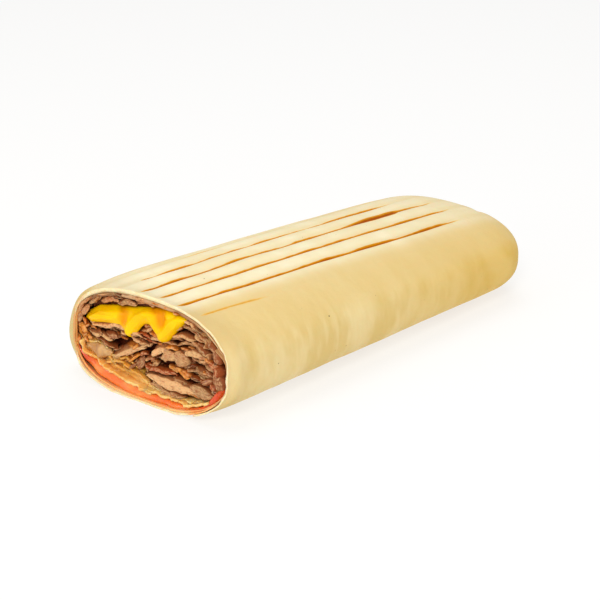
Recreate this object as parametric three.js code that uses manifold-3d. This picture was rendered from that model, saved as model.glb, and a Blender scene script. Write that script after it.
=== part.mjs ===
// A grilled lavash wrap, cut across: a thin flatbread sheet rolled about two turns round
// sliced meat, cheese sauce, tomato and white cabbage, its far end folded shut.
// Millimetres, +Z up. X runs along the wrap: the cut faces -X, the closed end points to +X.
// Shapes on the cut are drawn as [y, z], with z = 0 under the wrap, and follow its taper.

import * as THREE from 'three';
import { mergeVertices } from 'three/addons/utils/BufferGeometryUtils.js';
import Module from 'manifold-3d';

const wasm = await Module();
wasm.setup();

// ---------- Driving dimensions ----------

const LENGTH = 170.8; // cut to tip
const WIDTH = 80; // widest section, just behind the cut
const HEIGHT = 38;
const SQUARENESS = 2.45; // exponent of the superellipse that every section follows
const WIDTH_TAPER = 0.121; // share of the width lost at the closed end
const HEIGHT_TAPER = 0.147;
const BEND = 0.7; // how far the closed end curves to -Y
const END_ROUNDING = 19.5; // length of the rounded end
const END_BLUNTNESS = 0.523;

const RIM_REACH = 2.3; // the cut pinches the rim in over about this length
const RIM_NARROWING = 0.123;
const RIM_RISE = 0.018;
const RIM_SHIFT = 2.4;
const RIM_DROP = 0.36;
const CUT_SLOPE_Y = 0.105; // the cut isn't quite square to the wrap
const CUT_SLOPE_Z = 0.065;
const CUT_FADE = 40;
const FLAT_DEPTH = 0.5; // pressed flat underneath by this much

const SHEET = 1.15; // thickness of the lavash sheet
const PLY_GAP = 0.35; // air between two turns of the sheet
const PITCH = SHEET + PLY_GAP;
const SEAM_ANGLE = THREE.MathUtils.degToRad(235); // outer edge of the sheet, low at the front
const INNER_EDGE_TURN = THREE.MathUtils.degToRad(110); // inner edge, past two whole turns
const SEAM_RAMP = THREE.MathUtils.degToRad(34); // the sheet dips under its own outer edge
const SEAM_LIP = 0.15;
const PRESSED_ANGLE = THREE.MathUtils.degToRad(232); // the turns are pressed together here
const PRESSED_REACH = THREE.MathUtils.degToRad(38);
const PRESSED_SHARE = 0.5;

const GRILL_PITCH = 8.49; // between two grill lines at the cut
const GRILL_CENTRE = -1.71;
const GRILL_FAN = 0.203; // the lines spread by this share towards the closed end
const GRILL_DEPTH = 0.55;
const GRILL_HALF_WIDTH = 1.1;
const PUFF_HEIGHT = 0.45; // the bread puffs up between the lines
const GRILL_SHOULDER = 0.25; // share of the depth left at a line's edges
const GRILL_RAMP = 9; // a line fades in and out over this length
const GRILL_LINES = [
  { start: 34, end: 64, strength: 0.5 },
  { start: 12, end: 139, strength: 1 },
  { start: 1, end: 152, strength: 1 },
  { start: 1, end: 152, strength: 1 },
  { start: 1, end: 145, strength: 1 },
  { start: 3, end: 40, strength: 0.5 },
];

// The fold of the closed end: a flap that stands proud below a slanting crease
const FOLD = { height: 23.5, slope: -0.35, centreY: 4, flap: 0.5, crease: 0.9, width: 1.6 };
const FOLD_REACH = 14;

const CLEAR = 0.35; // air between two fillings, and between filling and bread
const FILLING_END = LENGTH - END_ROUNDING - 3;
const RECESS = 3.4; // the packed middle of a heap starts this far behind the cut
const FRONT = -2.5; // no filling reaches further out of the cut than this
const SLICE_LENGTH = 9; // how far a meat slice on the cut reaches into the wrap

// ---------- Sections of the wrap ----------

const along = (s) => Math.max(s, 0) / LENGTH;
const rim = (s) => Math.exp(-((Math.max(s, 0) / RIM_REACH) ** 2));
const widthAt = (s) => WIDTH * (1 - WIDTH_TAPER * along(s) ** 1.3 - RIM_NARROWING * rim(s));
const heightAt = (s) => HEIGHT * (1 - HEIGHT_TAPER * along(s) ** 1.5 + RIM_RISE * rim(s));
const centreYAt = (s) => -RIM_SHIFT * rim(s) - BEND * along(s) ** 2;
const centreZAt = (s) => heightAt(s) / 2 - RIM_DROP * rim(s);

// 1 along the wrap, falling to 0 at the tip, where the section has shrunk to a point
function roundingAt(s) {
  const left = THREE.MathUtils.clamp((LENGTH - s) / END_ROUNDING, 0, 1);
  return Math.sqrt(1 - (1 - left) ** 2) ** END_BLUNTNESS;
}

function place(s, y, z) {
  const fade = THREE.MathUtils.clamp(1 - s / CUT_FADE, 0, 1);
  const x = s - LENGTH / 2 + (CUT_SLOPE_Z * z - CUT_SLOPE_Y * y) * fade;
  return new THREE.Vector3(x, y, z);
}

// What is left of the sheet's thickness at an angle round the wrap
function pressedAt(angle) {
  const away = Math.abs(angle - PRESSED_ANGLE) % (2 * Math.PI);
  const nearest = Math.min(away, 2 * Math.PI - away);
  return 1 - PRESSED_SHARE * Math.exp(-((nearest / PRESSED_REACH) ** 2));
}

// A point of the section at s, by angle from +Y over the top, and by depth under the surface
function onSection(s, angle, depth) {
  const power = 2 / SQUARENESS;
  const side = Math.sign(Math.cos(angle)) * Math.abs(Math.cos(angle)) ** power;
  const rise = Math.sign(Math.sin(angle)) * Math.abs(Math.sin(angle)) ** power;
  const round = roundingAt(s);
  const y = centreYAt(s) + (widthAt(s) / 2 - depth) * round * side;
  const z = centreZAt(s) + (heightAt(s) / 2 - depth) * round * rise;
  return place(s, y, z);
}

// A point drawn on the cut, carried to the section at s
function fromCut(s, [y, z]) {
  const ys = centreYAt(s) + ((y - centreYAt(0)) * widthAt(s)) / widthAt(0);
  const zs = centreZAt(s) + ((z - centreZAt(0)) * heightAt(s)) / heightAt(0);
  return place(s, ys, zs);
}

// ---------- Solids ----------

const flat = (ring) => ring.map((p) => new THREE.Vector2(p.y, p.z));

// A closed solid through rings of points that follow each other in +X
function lofted(rings) {
  const count = rings[0].length;
  const clockwise = THREE.ShapeUtils.area(flat(rings[0])) < 0;
  const ordered = clockwise ? rings.map((ring) => [...ring].reverse()) : rings;
  const triangles = [];
  for (let j = 0; j + 1 < ordered.length; j += 1) {
    for (let i = 0; i < count; i += 1) {
      const next = (i + 1) % count;
      const [a, b] = [j * count + i, j * count + next];
      const [c, d] = [(j + 1) * count + next, (j + 1) * count + i];
      triangles.push([a, b, c], [a, c, d]);
    }
  }
  const last = ordered.length - 1;
  for (const [ring, sign] of [[0, -1], [last, 1]]) {
    const outline = flat(ordered[ring]);
    for (const face of THREE.ShapeUtils.triangulateShape(outline, [])) {
      const turn = THREE.ShapeUtils.area(face.map((k) => outline[k])) * sign;
      const [a, b, c] = face.map((k) => ring * count + k);
      triangles.push(turn > 0 ? [a, b, c] : [a, c, b]);
    }
  }
  const geometry = new THREE.BufferGeometry().setFromPoints(ordered.flat());
  geometry.setIndex(triangles.flat());
  return asSolid(geometry);
}

function asSolid(geometry) {
  geometry.deleteAttribute('normal');
  geometry.deleteAttribute('uv');
  const merged = mergeVertices(geometry, 1e-4);
  return new wasm.Manifold(new wasm.Mesh({
    numProp: 3,
    vertProperties: new Float32Array(merged.attributes.position.array),
    triVerts: new Uint32Array(merged.index.array),
  }));
}

function asMesh(name, solid, color, roughness) {
  const { vertProperties, triVerts } = solid.getMesh();
  const geometry = new THREE.BufferGeometry();
  geometry.setAttribute('position', new THREE.BufferAttribute(vertProperties, 3));
  geometry.setIndex(new THREE.BufferAttribute(triVerts, 1));
  geometry.computeVertexNormals();
  const mesh = new THREE.Mesh(geometry, new THREE.MeshStandardMaterial({ color, roughness }));
  mesh.name = name;
  return mesh;
}

const join = (solids) => solids.reduce((whole, solid) => whole.add(solid));

// The stations at which everything inside the wrap is drawn
const STATIONS = [0, 2.2, 5, 20, 60, 105, FILLING_END];

// A smooth curve of [y, z] through the named points
function curve(points, samples) {
  const spline = new THREE.SplineCurve(points.map(([y, z]) => new THREE.Vector2(y, z)));
  return spline.getSpacedPoints(samples).map((p) => [p.x, p.y]);
}

// An outline of [y, z] moved outwards, or inwards where the amount is negative
function grown(outline, amount) {
  const area = THREE.ShapeUtils.area(outline.map(([y, z]) => new THREE.Vector2(y, z)));
  const sign = Math.sign(area) * amount;
  return outline.map(([y, z], i) => {
    const before = outline[(i + outline.length - 1) % outline.length];
    const after = outline[(i + 1) % outline.length];
    const [dy, dz] = [after[0] - before[0], after[1] - before[1]];
    const size = Math.hypot(dy, dz);
    return [y + (sign * dz) / size, z - (sign * dy) / size];
  });
}

// ---------- Lavash ----------

const grillLineY = (index, s) =>
  (GRILL_CENTRE - GRILL_PITCH * (index - 2.5)) * (1 + GRILL_FAN * along(s));

// Height of the bread's relief at a distance from a grill line, -1 in the line to 1 between lines
function grillRelief(index, distance, s) {
  const reach = (line) => {
    if (!line) return 0;
    const rise = THREE.MathUtils.smoothstep(s, line.start, line.start + GRILL_RAMP);
    const fall = THREE.MathUtils.smoothstep(s, line.end - GRILL_RAMP, line.end);
    return line.strength * rise * (1 - fall);
  };
  const here = reach(GRILL_LINES[index]);
  const beyond = reach(GRILL_LINES[index + 1]);
  if (distance === 0) return -GRILL_DEPTH * here;
  if (distance <= GRILL_HALF_WIDTH) return -GRILL_SHOULDER * GRILL_DEPTH * here;
  return (PUFF_HEIGHT * (here + beyond)) / 2;
}

// The outer surface's columns: four to a grill line over the top, even steps round the rest
function surfaceColumns() {
  const columns = [];
  GRILL_LINES.forEach((line, index) => {
    for (const offset of [GRILL_HALF_WIDTH, 0, -GRILL_HALF_WIDTH, -GRILL_PITCH / 2]) {
      columns.push({ index, offset });
    }
  });
  return columns;
}

const SIDE_STEPS = 30;
const SEAM_WALL = 0.004; // half the angle that the sheet's outer edge takes up

// The depth of the outer surface near the sheet's outer edge, where the turn below shows
function seamDip(angle) {
  const before = angle - SEAM_ANGLE;
  const share = THREE.MathUtils.smoothstep(SEAM_RAMP - before, 0, SEAM_RAMP);
  return before >= 0 ? (PITCH + SEAM_LIP) * share : 0;
}

function foldRelief(s, y, z) {
  const onEnd = THREE.MathUtils.smoothstep(s, LENGTH - FOLD_REACH, LENGTH - FOLD_REACH / 3);
  const aboveCrease = z - FOLD.height - FOLD.slope * (y - FOLD.centreY);
  const crease = Math.exp(-((aboveCrease / FOLD.width) ** 2));
  const flap = aboveCrease < 0 ? FOLD.flap : 0;
  return onEnd * (flap - FOLD.crease * crease);
}

function surfaceRing(s) {
  const angles = surfaceColumns().map(({ index, offset }) => {
    const share = (grillLineY(index, s) + offset * (1 + GRILL_FAN * along(s))) / (widthAt(s) / 2);
    const angle = Math.acos(Math.sign(share) * Math.abs(share) ** (SQUARENESS / 2));
    return { angle, lift: grillRelief(index, Math.abs(offset), s) };
  });
  const first = angles[0].angle + 2 * Math.PI;
  const last = angles[angles.length - 1].angle;
  const around = [];
  for (let i = 1; i < SIDE_STEPS; i += 1) {
    const angle = last + ((first - last) * i) / SIDE_STEPS;
    around.push({ angle, lift: -seamDip(angle) * pressedAt(angle) });
  }
  const seam = [
    { angle: SEAM_ANGLE - SEAM_WALL, lift: 0 },
    { angle: SEAM_ANGLE + SEAM_WALL, lift: -(PITCH + SEAM_LIP) * pressedAt(SEAM_ANGLE) },
  ];
  const columns = [...angles, ...around, ...seam].sort((a, b) => a.angle - b.angle);
  return columns.map(({ angle, lift }) => {
    const point = onSection(s, angle, -lift * roundingAt(s));
    point.x += foldRelief(s, point.y, point.z);
    point.z = Math.max(point.z, FLAT_DEPTH);
    return point;
  });
}

const RIM_STATIONS = [0, 1.2, 2.4, 3.8, 6, 10];
const STRAIGHT_STEPS = 18;
const END_DEGREES = [70, 54, 41, 30, 21, 14, 8, 3.5, 0.8];

function wrapOutside() {
  const stations = [...RIM_STATIONS];
  const start = stations[stations.length - 1];
  const end = LENGTH - END_ROUNDING;
  for (let i = 1; i <= STRAIGHT_STEPS; i += 1) {
    stations.push(start + ((end - start) * i) / STRAIGHT_STEPS);
  }
  for (const degrees of END_DEGREES) {
    const angle = THREE.MathUtils.degToRad(degrees);
    stations.push(LENGTH - END_ROUNDING * (1 - Math.cos(angle)));
  }
  return lofted(stations.map(surfaceRing));
}

// Depth of the sheet's outer face after a total turn, measured back from its outer edge
function sheetDepth(turn) {
  const whole = Math.floor(turn / (2 * Math.PI) + 1e-9);
  const rest = turn - whole * 2 * Math.PI;
  return PITCH * whole + seamDip(SEAM_ANGLE + 2 * Math.PI - rest);
}

const TURN_STEP = Math.PI / 18;

// All the space inside the rolled sheet: the gap between its turns, then the hollow
function rollSpace() {
  const outerEdge = -0.05; // the gap opens a little way past the sheet's outer edge
  const innerEdge = 4 * Math.PI + INNER_EDGE_TURN;
  const turns = (from, to) => {
    const count = Math.round(Math.abs(to - from) / TURN_STEP);
    return Array.from({ length: count + 1 }, (_, i) => from + ((to - from) * i) / count);
  };
  const innerFace = turns(0, innerEdge).map((turn) => [turn, sheetDepth(turn) + SHEET]);
  const outerFace = turns(innerEdge, 2 * Math.PI).map((turn) => [turn, sheetDepth(turn)]);
  const path = [[outerEdge, SHEET], ...innerFace, ...outerFace, [2 * Math.PI + outerEdge, PITCH]];
  const ring = (s) => path.map(([turn, depth]) => {
    const angle = SEAM_ANGLE - turn;
    return onSection(s, angle, depth * pressedAt(angle));
  });
  const beyondCut = ring(0).map((p) => p.setX(p.x + FRONT));
  return lofted([beyondCut, ...STATIONS.map(ring)]);
}

function lavash() {
  return asMesh('lavash', wrapOutside().subtract(rollSpace()), 0xe9d9a6, 0.75);
}

// ---------- Fillings ----------

// The hollow of the roll, kept clear of the bread
function fillingSpace() {
  const steps = Array.from({ length: 36 }, (_, i) => i * TURN_STEP);
  const [under, past] = [INNER_EDGE_TURN + 0.06, INNER_EDGE_TURN + 0.08];
  const turns = [...steps, under, past].sort((a, b) => a - b);
  const ring = (s, shift) => turns.map((turn) => {
    const plies = turn <= under ? 2 * PITCH : PITCH;
    const angle = SEAM_ANGLE - turn;
    const stack = plies + SHEET + seamDip(angle + 2 * Math.PI);
    const point = onSection(s, angle, stack * pressedAt(angle) + CLEAR);
    return point.setX(point.x + shift);
  });
  return lofted([ring(0, FRONT), ring(0, 0), ...STATIONS.slice(1).map((s) => ring(s, 0))]);
}

const hollow = fillingSpace();

// The stretch of the hollow between two curves that cross it, drawn from +Y to -Y
function layer(over, under, start) {
  const outline = [...over, ...[...under].reverse()];
  const stations = STATIONS.filter((s) => s > start + 0.5);
  const ring = (s) => outline.map((point) => fromCut(s, point));
  const front = ring(Math.max(start, 0)).map((p) => p.clone().setX(p.x + Math.min(start, 0)));
  return lofted([front, ...stations.map(ring)]).intersect(hollow);
}

const shifted = (points, dz) => points.map(([y, z]) => [y, z + dz]);
const CEILING = [[42, 44], [-42, 44]]; // above and below all the fillings
const FLOOR = [[42, -6], [-42, -6]];

// The cut edges of the tomato and of the cabbage above it, from the back to the front
const TOMATO_TOP = curve([
  [38, 16], [29.6, 12.3], [28, 10.4], [25, 9.3], [20, 8.8], [14.8, 6.6], [8, 5.5], [0, 5.2],
  [-12, 5.1], [-22, 5], [-28, 7.4], [-33.5, 12.2], [-38, 17],
], 22);
const CABBAGE_TOP = curve([
  [38, 19], [28.4, 15.4], [22, 15.2], [14, 14.6], [11, 12.2], [5, 12.2], [0, 10.6],
  [-3.5, 8], [-14, 7.3], [-20, 7.6], [-27, 9.4], [-33, 14], [-38, 19],
], 22);

// Tomato: two long slices side by side, meeting at a slanting edge
const TOMATO_SPLIT = [[-18.5, 7], [-23.5, 0]];

function tomatoSlices() {
  const slab = layer(TOMATO_TOP, FLOOR, -0.4);
  const side = (sign) => {
    const [top, bottom] = TOMATO_SPLIT;
    const gap = (sign * CLEAR) / 2;
    const far = sign * CEILING[0][0];
    const [high, low] = [CEILING[0][1], FLOOR[0][1]];
    const outline = [
      [top[0] + gap, high], [top[0] + gap, top[1]], [bottom[0] + gap, bottom[1]],
      [bottom[0] + gap, low], [far, low], [far, high],
    ];
    const ring = (s) => outline.map((point) => fromCut(s, point));
    const front = ring(0).map((p) => p.setX(p.x + FRONT));
    const back = ring(FILLING_END).map((p) => p.setX(p.x + CLEAR));
    return lofted([front, ...STATIONS.slice(0, -1).map(ring), back]);
  };
  return [
    asMesh('tomato_slice_1', slab.intersect(side(1)), 0xf07a35, 0.35),
    asMesh('tomato_slice_2', slab.intersect(side(-1)), 0xe8501f, 0.35),
  ];
}

const LEAF_STEPS = 9;
const LEAF_WAVE_ACROSS = 1.3;
const LEAF_WAVE_ALONG = 0.45;

// A thin wavy leaf that runs along the wrap: its cut edge, thickness and ripple
function leaf(points, thickness, ripple, start) {
  const line = curve(points, LEAF_STEPS);
  const stations = [start, ...STATIONS.filter((s) => s > start + 1)];
  const rings = stations.map((s) => {
    const wave = (i) => ripple * Math.sin(LEAF_WAVE_ACROSS * i + LEAF_WAVE_ALONG * s);
    const over = line.map(([y, z], i) => [y, z + thickness / 2 + wave(i)]);
    const under = line.map(([y, z], i) => [y, z - thickness / 2 + wave(i)]);
    const outline = [...over, ...under.reverse()];
    return outline.map((point) => {
      const moved = fromCut(Math.max(s, 0), point);
      return moved.setX(moved.x + Math.min(s, 0));
    });
  });
  return lofted(rings);
}

const LEAVES = [
  {
    points: [[28.6, 15], [27.6, 11.9], [25, 10.5], [20.4, 10], [13.4, 7.7], [5, 6.7], [-5, 6.3]],
    thickness: 1.1, ripple: 0.12, start: -0.7,
  },
  {
    points: [[-3, 6.4], [-9, 6.1], [-15, 6.3], [-20, 6.5], [-26, 8], [-30.5, 11.2]],
    thickness: 1, ripple: 0.15, start: -0.3,
  },
  {
    points: [[15, 9.4], [11, 10.7], [7, 11.2], [3, 10.4], [0, 9.2], [-3, 7.3]],
    thickness: 1.2, ripple: 0.2, start: -0.5,
  },
  {
    points: [[11, 8.2], [7, 8.9], [3, 8.4], [-1, 7.6]],
    thickness: 0.9, ripple: 0.1, start: 0.4,
  },
  {
    points: [[25.5, 12.4], [22, 13.2], [18, 13.1], [14.2, 12.3]],
    thickness: 3, ripple: 0.1, start: -0.6,
  },
];

// White cabbage: leaves and a thick rib over the tomato
function cabbage() {
  const under = shifted(TOMATO_TOP, CLEAR);
  const core = layer(CABBAGE_TOP, under, RECESS);
  const leaves = LEAVES.map(({ points, thickness, ripple, start }) =>
    leaf(points, thickness, ripple, start));
  const zone = layer(CABBAGE_TOP, under, FRONT);
  return asMesh('cabbage', join([core, ...leaves]).intersect(zone), 0xecd58a, 0.55);
}

// Cheese sauce: a thick layer whose lower edge runs down over the cut in two drips.
// Each point under the layer is [y, z inside the wrap, z on the cut].
const CHEESE_TOP = [
  [26.2, 23.6], [25, 26.2], [20, 30.3], [14, 31.9], [7, 32.6], [0, 33.9], [-8, 35.1],
  [-15, 35], [-18.4, 34],
];
const CHEESE_UNDER = [
  [-17, 32.2, 32], [-14, 30, 29.2], [-12, 29, 27], [-10, 28.3, 25.2], [-7.6, 27.8, 24.5],
  [-5.4, 27.6, 26], [-3.4, 27.5, 28], [-1, 27.4, 28.7], [1.2, 27, 27.2], [3.4, 26.6, 24.2],
  [6.4, 26, 22.5], [9.2, 25.6, 24.2], [11.5, 25.3, 24.9], [18, 24.4, 23.9], [24, 23.2, 22.6],
];
const CHEESE_ROUNDING = [{ shrink: 1.2, reach: 1.1 }, { shrink: 0.35, reach: 0.6 }];

const [DRIP_START, DRIP_END] = [2.5, 8]; // the drips end this far behind the cut

function cheeseOutline(s, amount) {
  const drip = 1 - THREE.MathUtils.smoothstep(s, DRIP_START, DRIP_END);
  const under = CHEESE_UNDER.map(([y, inside, cut]) => [y, inside + (cut - inside) * drip]);
  const closed = [...CHEESE_TOP, ...under, CHEESE_TOP[0]];
  return grown(curve(closed, 40).slice(0, -1), amount);
}

function cheeseSolid(amount) {
  const ring = (s) => cheeseOutline(s, amount).map((point) => fromCut(s, point));
  const front = CHEESE_ROUNDING.map(({ shrink, reach }) =>
    cheeseOutline(0, amount - shrink).map((point) => fromCut(0, point))
      .map((p) => p.setX(p.x - reach - amount)));
  return lofted([...front, ...STATIONS.map(ring)]).intersect(hollow);
}

// Meat: slices [y, z, length, thickness, tilt, bow, front] on the cut. The tilt is in degrees,
// rising to +Y, the bow lifts the middle, and front is how far the edge stands behind the cut.
const SLICES = [
  [19.5, 31.7, 12.5, 2.2, -28, 0.8, 0.4],
  [9.5, 34.4, 9, 1.9, -7, 0.3, 0.2],
  [-0.5, 35.3, 9, 1.4, -2, 0.2, 0.6],
  [-21, 32.4, 6.5, 1.7, 22, 0.3, 0.3],
  [-18.4, 29.6, 8, 2, 14, 0.9, 1.2],
  [-24.6, 28.4, 5, 1.8, 38, 0.4, 0.5],
  [-16.5, 26.6, 10.5, 1.9, -8, 0.5, 0.1],
  [-8, 23.3, 12, 1.8, -4, 0.4, 0.9],
  [2.2, 25.6, 6.2, 2, -6, 0.5, 1.4],
  [12.3, 21.9, 24.5, 2.2, -3, 1.2, 0],
  [-2.4, 21.6, 9, 1.4, 5, -0.3, 0.8],
  [18.4, 18.5, 11, 1.7, 4, 0.3, 0.9],
  [17.4, 15.7, 12.5, 1.2, 2, 0.3, 0.7],
  [27.3, 18.2, 4.6, 3.2, 62, 0.2, 0.3],
  [5.6, 18.1, 10, 1.7, -24, 0.5, 1.1],
  [6, 15.5, 16, 2.1, -27, 0.6, 0.1],
  [2.4, 13.3, 9.5, 1.5, -34, 0.4, 0.7],
  [-9.8, 19.2, 10, 4.6, -9, 0.6, -0.6],
  [-17.6, 19.9, 6.6, 4.3, -4, 0.8, -0.3],
  [-23.2, 21.4, 6.4, 3.4, 6, 0.7, 0.3],
  [-27.4, 22.9, 3.4, 1.4, -58, 0.4, 0],
  [-28.9, 20.2, 5.4, 2.6, 12, 0.3, 0.9],
  [-31.2, 15.6, 7, 3.6, 78, 0.4, 0.4],
  [-16.2, 16, 8.4, 1.7, 3, 0.2, 1.2],
  [-24, 16.4, 6.6, 2.6, 10, 0.5, 0.6],
  [-8.2, 14.2, 13.5, 1.5, 6, 0.3, 1],
  [-11.2, 11.8, 20, 2.6, 3, 0.4, -0.4],
  [-25.4, 12.2, 8.6, 3.2, 12, 0.5, 0],
  [-10.4, 8.8, 11.5, 1.5, 4, 0.2, 0.5],
];

const SLICE_STEPS = 4;
const SLICE_TIP = 0.35; // share of the thickness left at a slice's two tips
const SLICE_RIPPLE = 0.12;
const SLICE_FRONT = 0.75; // share of the thickness at the very edge

function slice([y, z, length, thickness, tilt, bow, front], index) {
  const angle = THREE.MathUtils.degToRad(tilt);
  const edge = (side, size) => Array.from({ length: SLICE_STEPS + 1 }, (_, i) => {
    const t = (2 * i) / SLICE_STEPS - 1;
    const end = SLICE_TIP + (1 - SLICE_TIP) * (1 - t ** 4);
    const ripple = SLICE_RIPPLE * thickness * Math.sin(i * 2.3 + index * 1.7 + side);
    const across = bow * (1 - t * t) + ripple + (side * size * thickness * end) / 2;
    const run = (t * length) / 2;
    return [y - run * Math.cos(angle) - across * Math.sin(angle),
      z - run * Math.sin(angle) + across * Math.cos(angle)];
  });
  const outline = (size) => [...edge(1, size), ...edge(-1, size).reverse()];
  const ring = (s, size) => outline(size).map((point) => {
    const moved = fromCut(Math.max(s, 0), point);
    return moved.setX(moved.x + Math.min(s, 0));
  });
  return lofted([ring(front, SLICE_FRONT), ring(front + 0.6, 1), ring(SLICE_LENGTH, 1)]);
}

function meat(cheeseSpace) {
  const under = shifted(CABBAGE_TOP, CLEAR);
  const core = layer(CEILING, under, RECESS);
  const zone = layer(CEILING, under, FRONT);
  const heap = join([core, ...SLICES.map(slice)]).intersect(zone).subtract(cheeseSpace);
  const pieces = heap.decompose().sort((a, b) => b.volume() - a.volume()); // drop loose scraps
  return asMesh('meat', pieces[0], 0x9a7458, 0.6);
}

// ---------- The whole wrap ----------

const wrap = new THREE.Group();
wrap.add(lavash());
wrap.add(meat(cheeseSolid(CLEAR)));
wrap.add(asMesh('cheese_sauce', cheeseSolid(0), 0xf7cf1b, 0.3));
wrap.add(...tomatoSlices());
wrap.add(cabbage());

// Stand it on Z = 0, centred on X and Y
const box = new THREE.Box3().setFromObject(wrap);
const centre = box.getCenter(new THREE.Vector3());
wrap.position.set(-centre.x, -centre.y, -box.min.z);

export default wrap;
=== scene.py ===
# %% [markdown]
# # A grilled lavash wrap, cut open
#
# This lesson dresses the imported model of a lavash wrap. The frame gives every solid at its real
# size, and each cell below replaces one of them with the real food: a rolled sheet of bread,
# slices of roast meat, melted cheese sauce, tomato and white cabbage.
# The first cell loads the frame.

# %% Load the frame
import math

import bmesh
import bpy
import numpy as np
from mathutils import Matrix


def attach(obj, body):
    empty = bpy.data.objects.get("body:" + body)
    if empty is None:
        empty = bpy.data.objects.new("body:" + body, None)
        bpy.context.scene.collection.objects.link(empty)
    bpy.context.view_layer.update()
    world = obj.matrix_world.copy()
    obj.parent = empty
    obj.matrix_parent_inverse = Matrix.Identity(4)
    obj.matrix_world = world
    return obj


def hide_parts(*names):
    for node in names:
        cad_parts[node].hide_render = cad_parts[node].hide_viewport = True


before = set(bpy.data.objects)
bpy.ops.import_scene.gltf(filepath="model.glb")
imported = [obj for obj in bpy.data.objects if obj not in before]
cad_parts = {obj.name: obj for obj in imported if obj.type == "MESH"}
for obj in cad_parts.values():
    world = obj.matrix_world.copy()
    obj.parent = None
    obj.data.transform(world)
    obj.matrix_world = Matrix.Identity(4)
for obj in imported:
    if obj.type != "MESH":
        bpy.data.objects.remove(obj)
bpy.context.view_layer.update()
bpy.ops.object.select_all(action="DESELECT")
print("nodes:", sorted(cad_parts))

# %% [markdown]
# ## The shape that everything follows
#
# A wrap is a flattened roll. Every section across it is a superellipse, a shape between an
# ellipse and a rounded box, that gets a little smaller towards the closed end. We could loft a
# few circles by hand, but the bread, the gaps between its turns and all the fillings have to
# follow the same form. So the form is written once, as a few functions of the distance from the
# cut, and every piece is laid out with them. Lengths here are in millimetres.

# %% Sections of the wrap
MM = 0.001
LENGTH = 170.8
WIDTH = 80.0
HEIGHT = 38.0
SQUARENESS = 2.45
END_ROUNDING = 19.5
END_BLUNTNESS = 0.523
MIDDLE = np.array([1.166, 0.044, -0.5])  # where the frame has the middle of the wrap

WIDTH_TAPER, HEIGHT_TAPER = 0.121, 0.147  # the share lost towards the closed end
CUT_SQUEEZE, CUT_SWELL = 0.123, 0.018  # narrower and higher at the cut, where it was held

SHEET = 1.15  # the room that one turn leaves for the food
SHOWN_SHEET = 1.45  # the sheet that shows is thicker, so that its turns nearly touch
PITCH = 1.5  # from one turn to the next
SEAM = math.radians(235)  # where the outer edge lies, measured from the left over the top
SEAM_RAMP = math.radians(34)
INNER_EDGE = 4 * math.pi + math.radians(110)  # how far the sheet is rolled in all
FILLING_END = LENGTH - END_ROUNDING - 3
LEAN_REACH = 40  # how far from the cut its slant dies out


def along(s):
    return np.maximum(s, 0) / LENGTH


def hump(x, width, middle=0):
    """A smooth rise: 1 at its middle, and almost nothing two widths away."""
    return np.exp(-(((x - middle) / width) ** 2))


def rim(s):
    """1 at the cut and 0 a few millimetres behind it."""
    return hump(np.maximum(s, 0), 2.3)


def width_at(s):
    return WIDTH * (1 - WIDTH_TAPER * along(s) ** 1.3 - CUT_SQUEEZE * rim(s))


def height_at(s):
    return HEIGHT * (1 - HEIGHT_TAPER * along(s) ** 1.5 + CUT_SWELL * rim(s))


def centre_y(s):
    return -2.4 * rim(s) - 0.7 * along(s) ** 2


def centre_z(s):
    return height_at(s) / 2 - 0.36 * rim(s)


def rounding(s):
    """How much of the full section is left where the closed end curves in."""
    left = np.clip((LENGTH - s) / END_ROUNDING, 0, 1)
    return np.sqrt(1 - (1 - left) ** 2) ** END_BLUNTNESS


def smooth(x, low, high):
    """Goes softly from 0 to 1 as x goes from low to high."""
    t = np.clip((x - low) / (high - low), 0, 1)
    return t * t * (3 - 2 * t)


def cut_lean(y, z):
    """The knife went in a little askew: how far along the wrap the cut lies at y and z."""
    return 0.065 * z - 0.105 * y


def place(s, y, z):
    """Turns the distance from the cut, and y and z, into a point of the wrap."""
    fade = np.clip(1 - s / LEAN_REACH, 0, 1)
    x = s - LENGTH / 2 + cut_lean(y, z) * fade
    return np.stack([x, y, z], -1)


def leaning(s, y, z):
    """The left side leans in above and out below near the cut, where a hand pressed it."""
    left = smooth(y, 6, 36)
    above = smooth(z, 12, 27) * (1 - rim(s)) * hump(s, 13)
    below = (1 - smooth(z, 3, 17)) * hump(np.maximum(s, 0), 16)
    return y + left * (2.4 * below - 3.0 * above)


def pressed(angle):
    """How much the turns are pressed together: to a third of their thickness underneath."""
    around = np.degrees(angle) % 360
    low = np.where(around < 90, around + 360, around)
    held = (1 - 0.25 * smooth(low, 290, 325)) * (1 - smooth(low, 362, 412))
    return 1 - 0.63 * smooth(low, 180, 214) * held


def on_section(s, angle, depth):
    """The point at an angle round the section, so deep under its outline."""
    power = 2 / SQUARENESS
    side = np.sign(np.cos(angle)) * np.abs(np.cos(angle)) ** power
    rise = np.sign(np.sin(angle)) * np.abs(np.sin(angle)) ** power
    y = centre_y(s) + (width_at(s) / 2 - depth) * rounding(s) * side
    z = centre_z(s) + (height_at(s) / 2 - depth) * rounding(s) * rise
    return place(s, leaning(s, y, z), z)


def from_cut(s, y, z):
    """Carries a point drawn on the cut along the wrap, to the distance s."""
    s = np.asarray(s, float)
    ys = centre_y(s) + (y - centre_y(0)) * width_at(s) / width_at(0)
    zs = centre_z(s) + (z - centre_z(0)) * height_at(s) / height_at(0)
    return place(s, leaning(s, ys, zs), zs)


print("widest section", round(float(width_at(8.0)), 1), "mm")

# %% [markdown]
# ## Points of a mesh
#
# Blender's operators act on what is selected, so a new primitive is always added after
# everything else is deselected. Food has no straight edges, so each piece starts as a plain grid
# or block, and `shape` moves all its points at once to the places that a formula gives.

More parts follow.
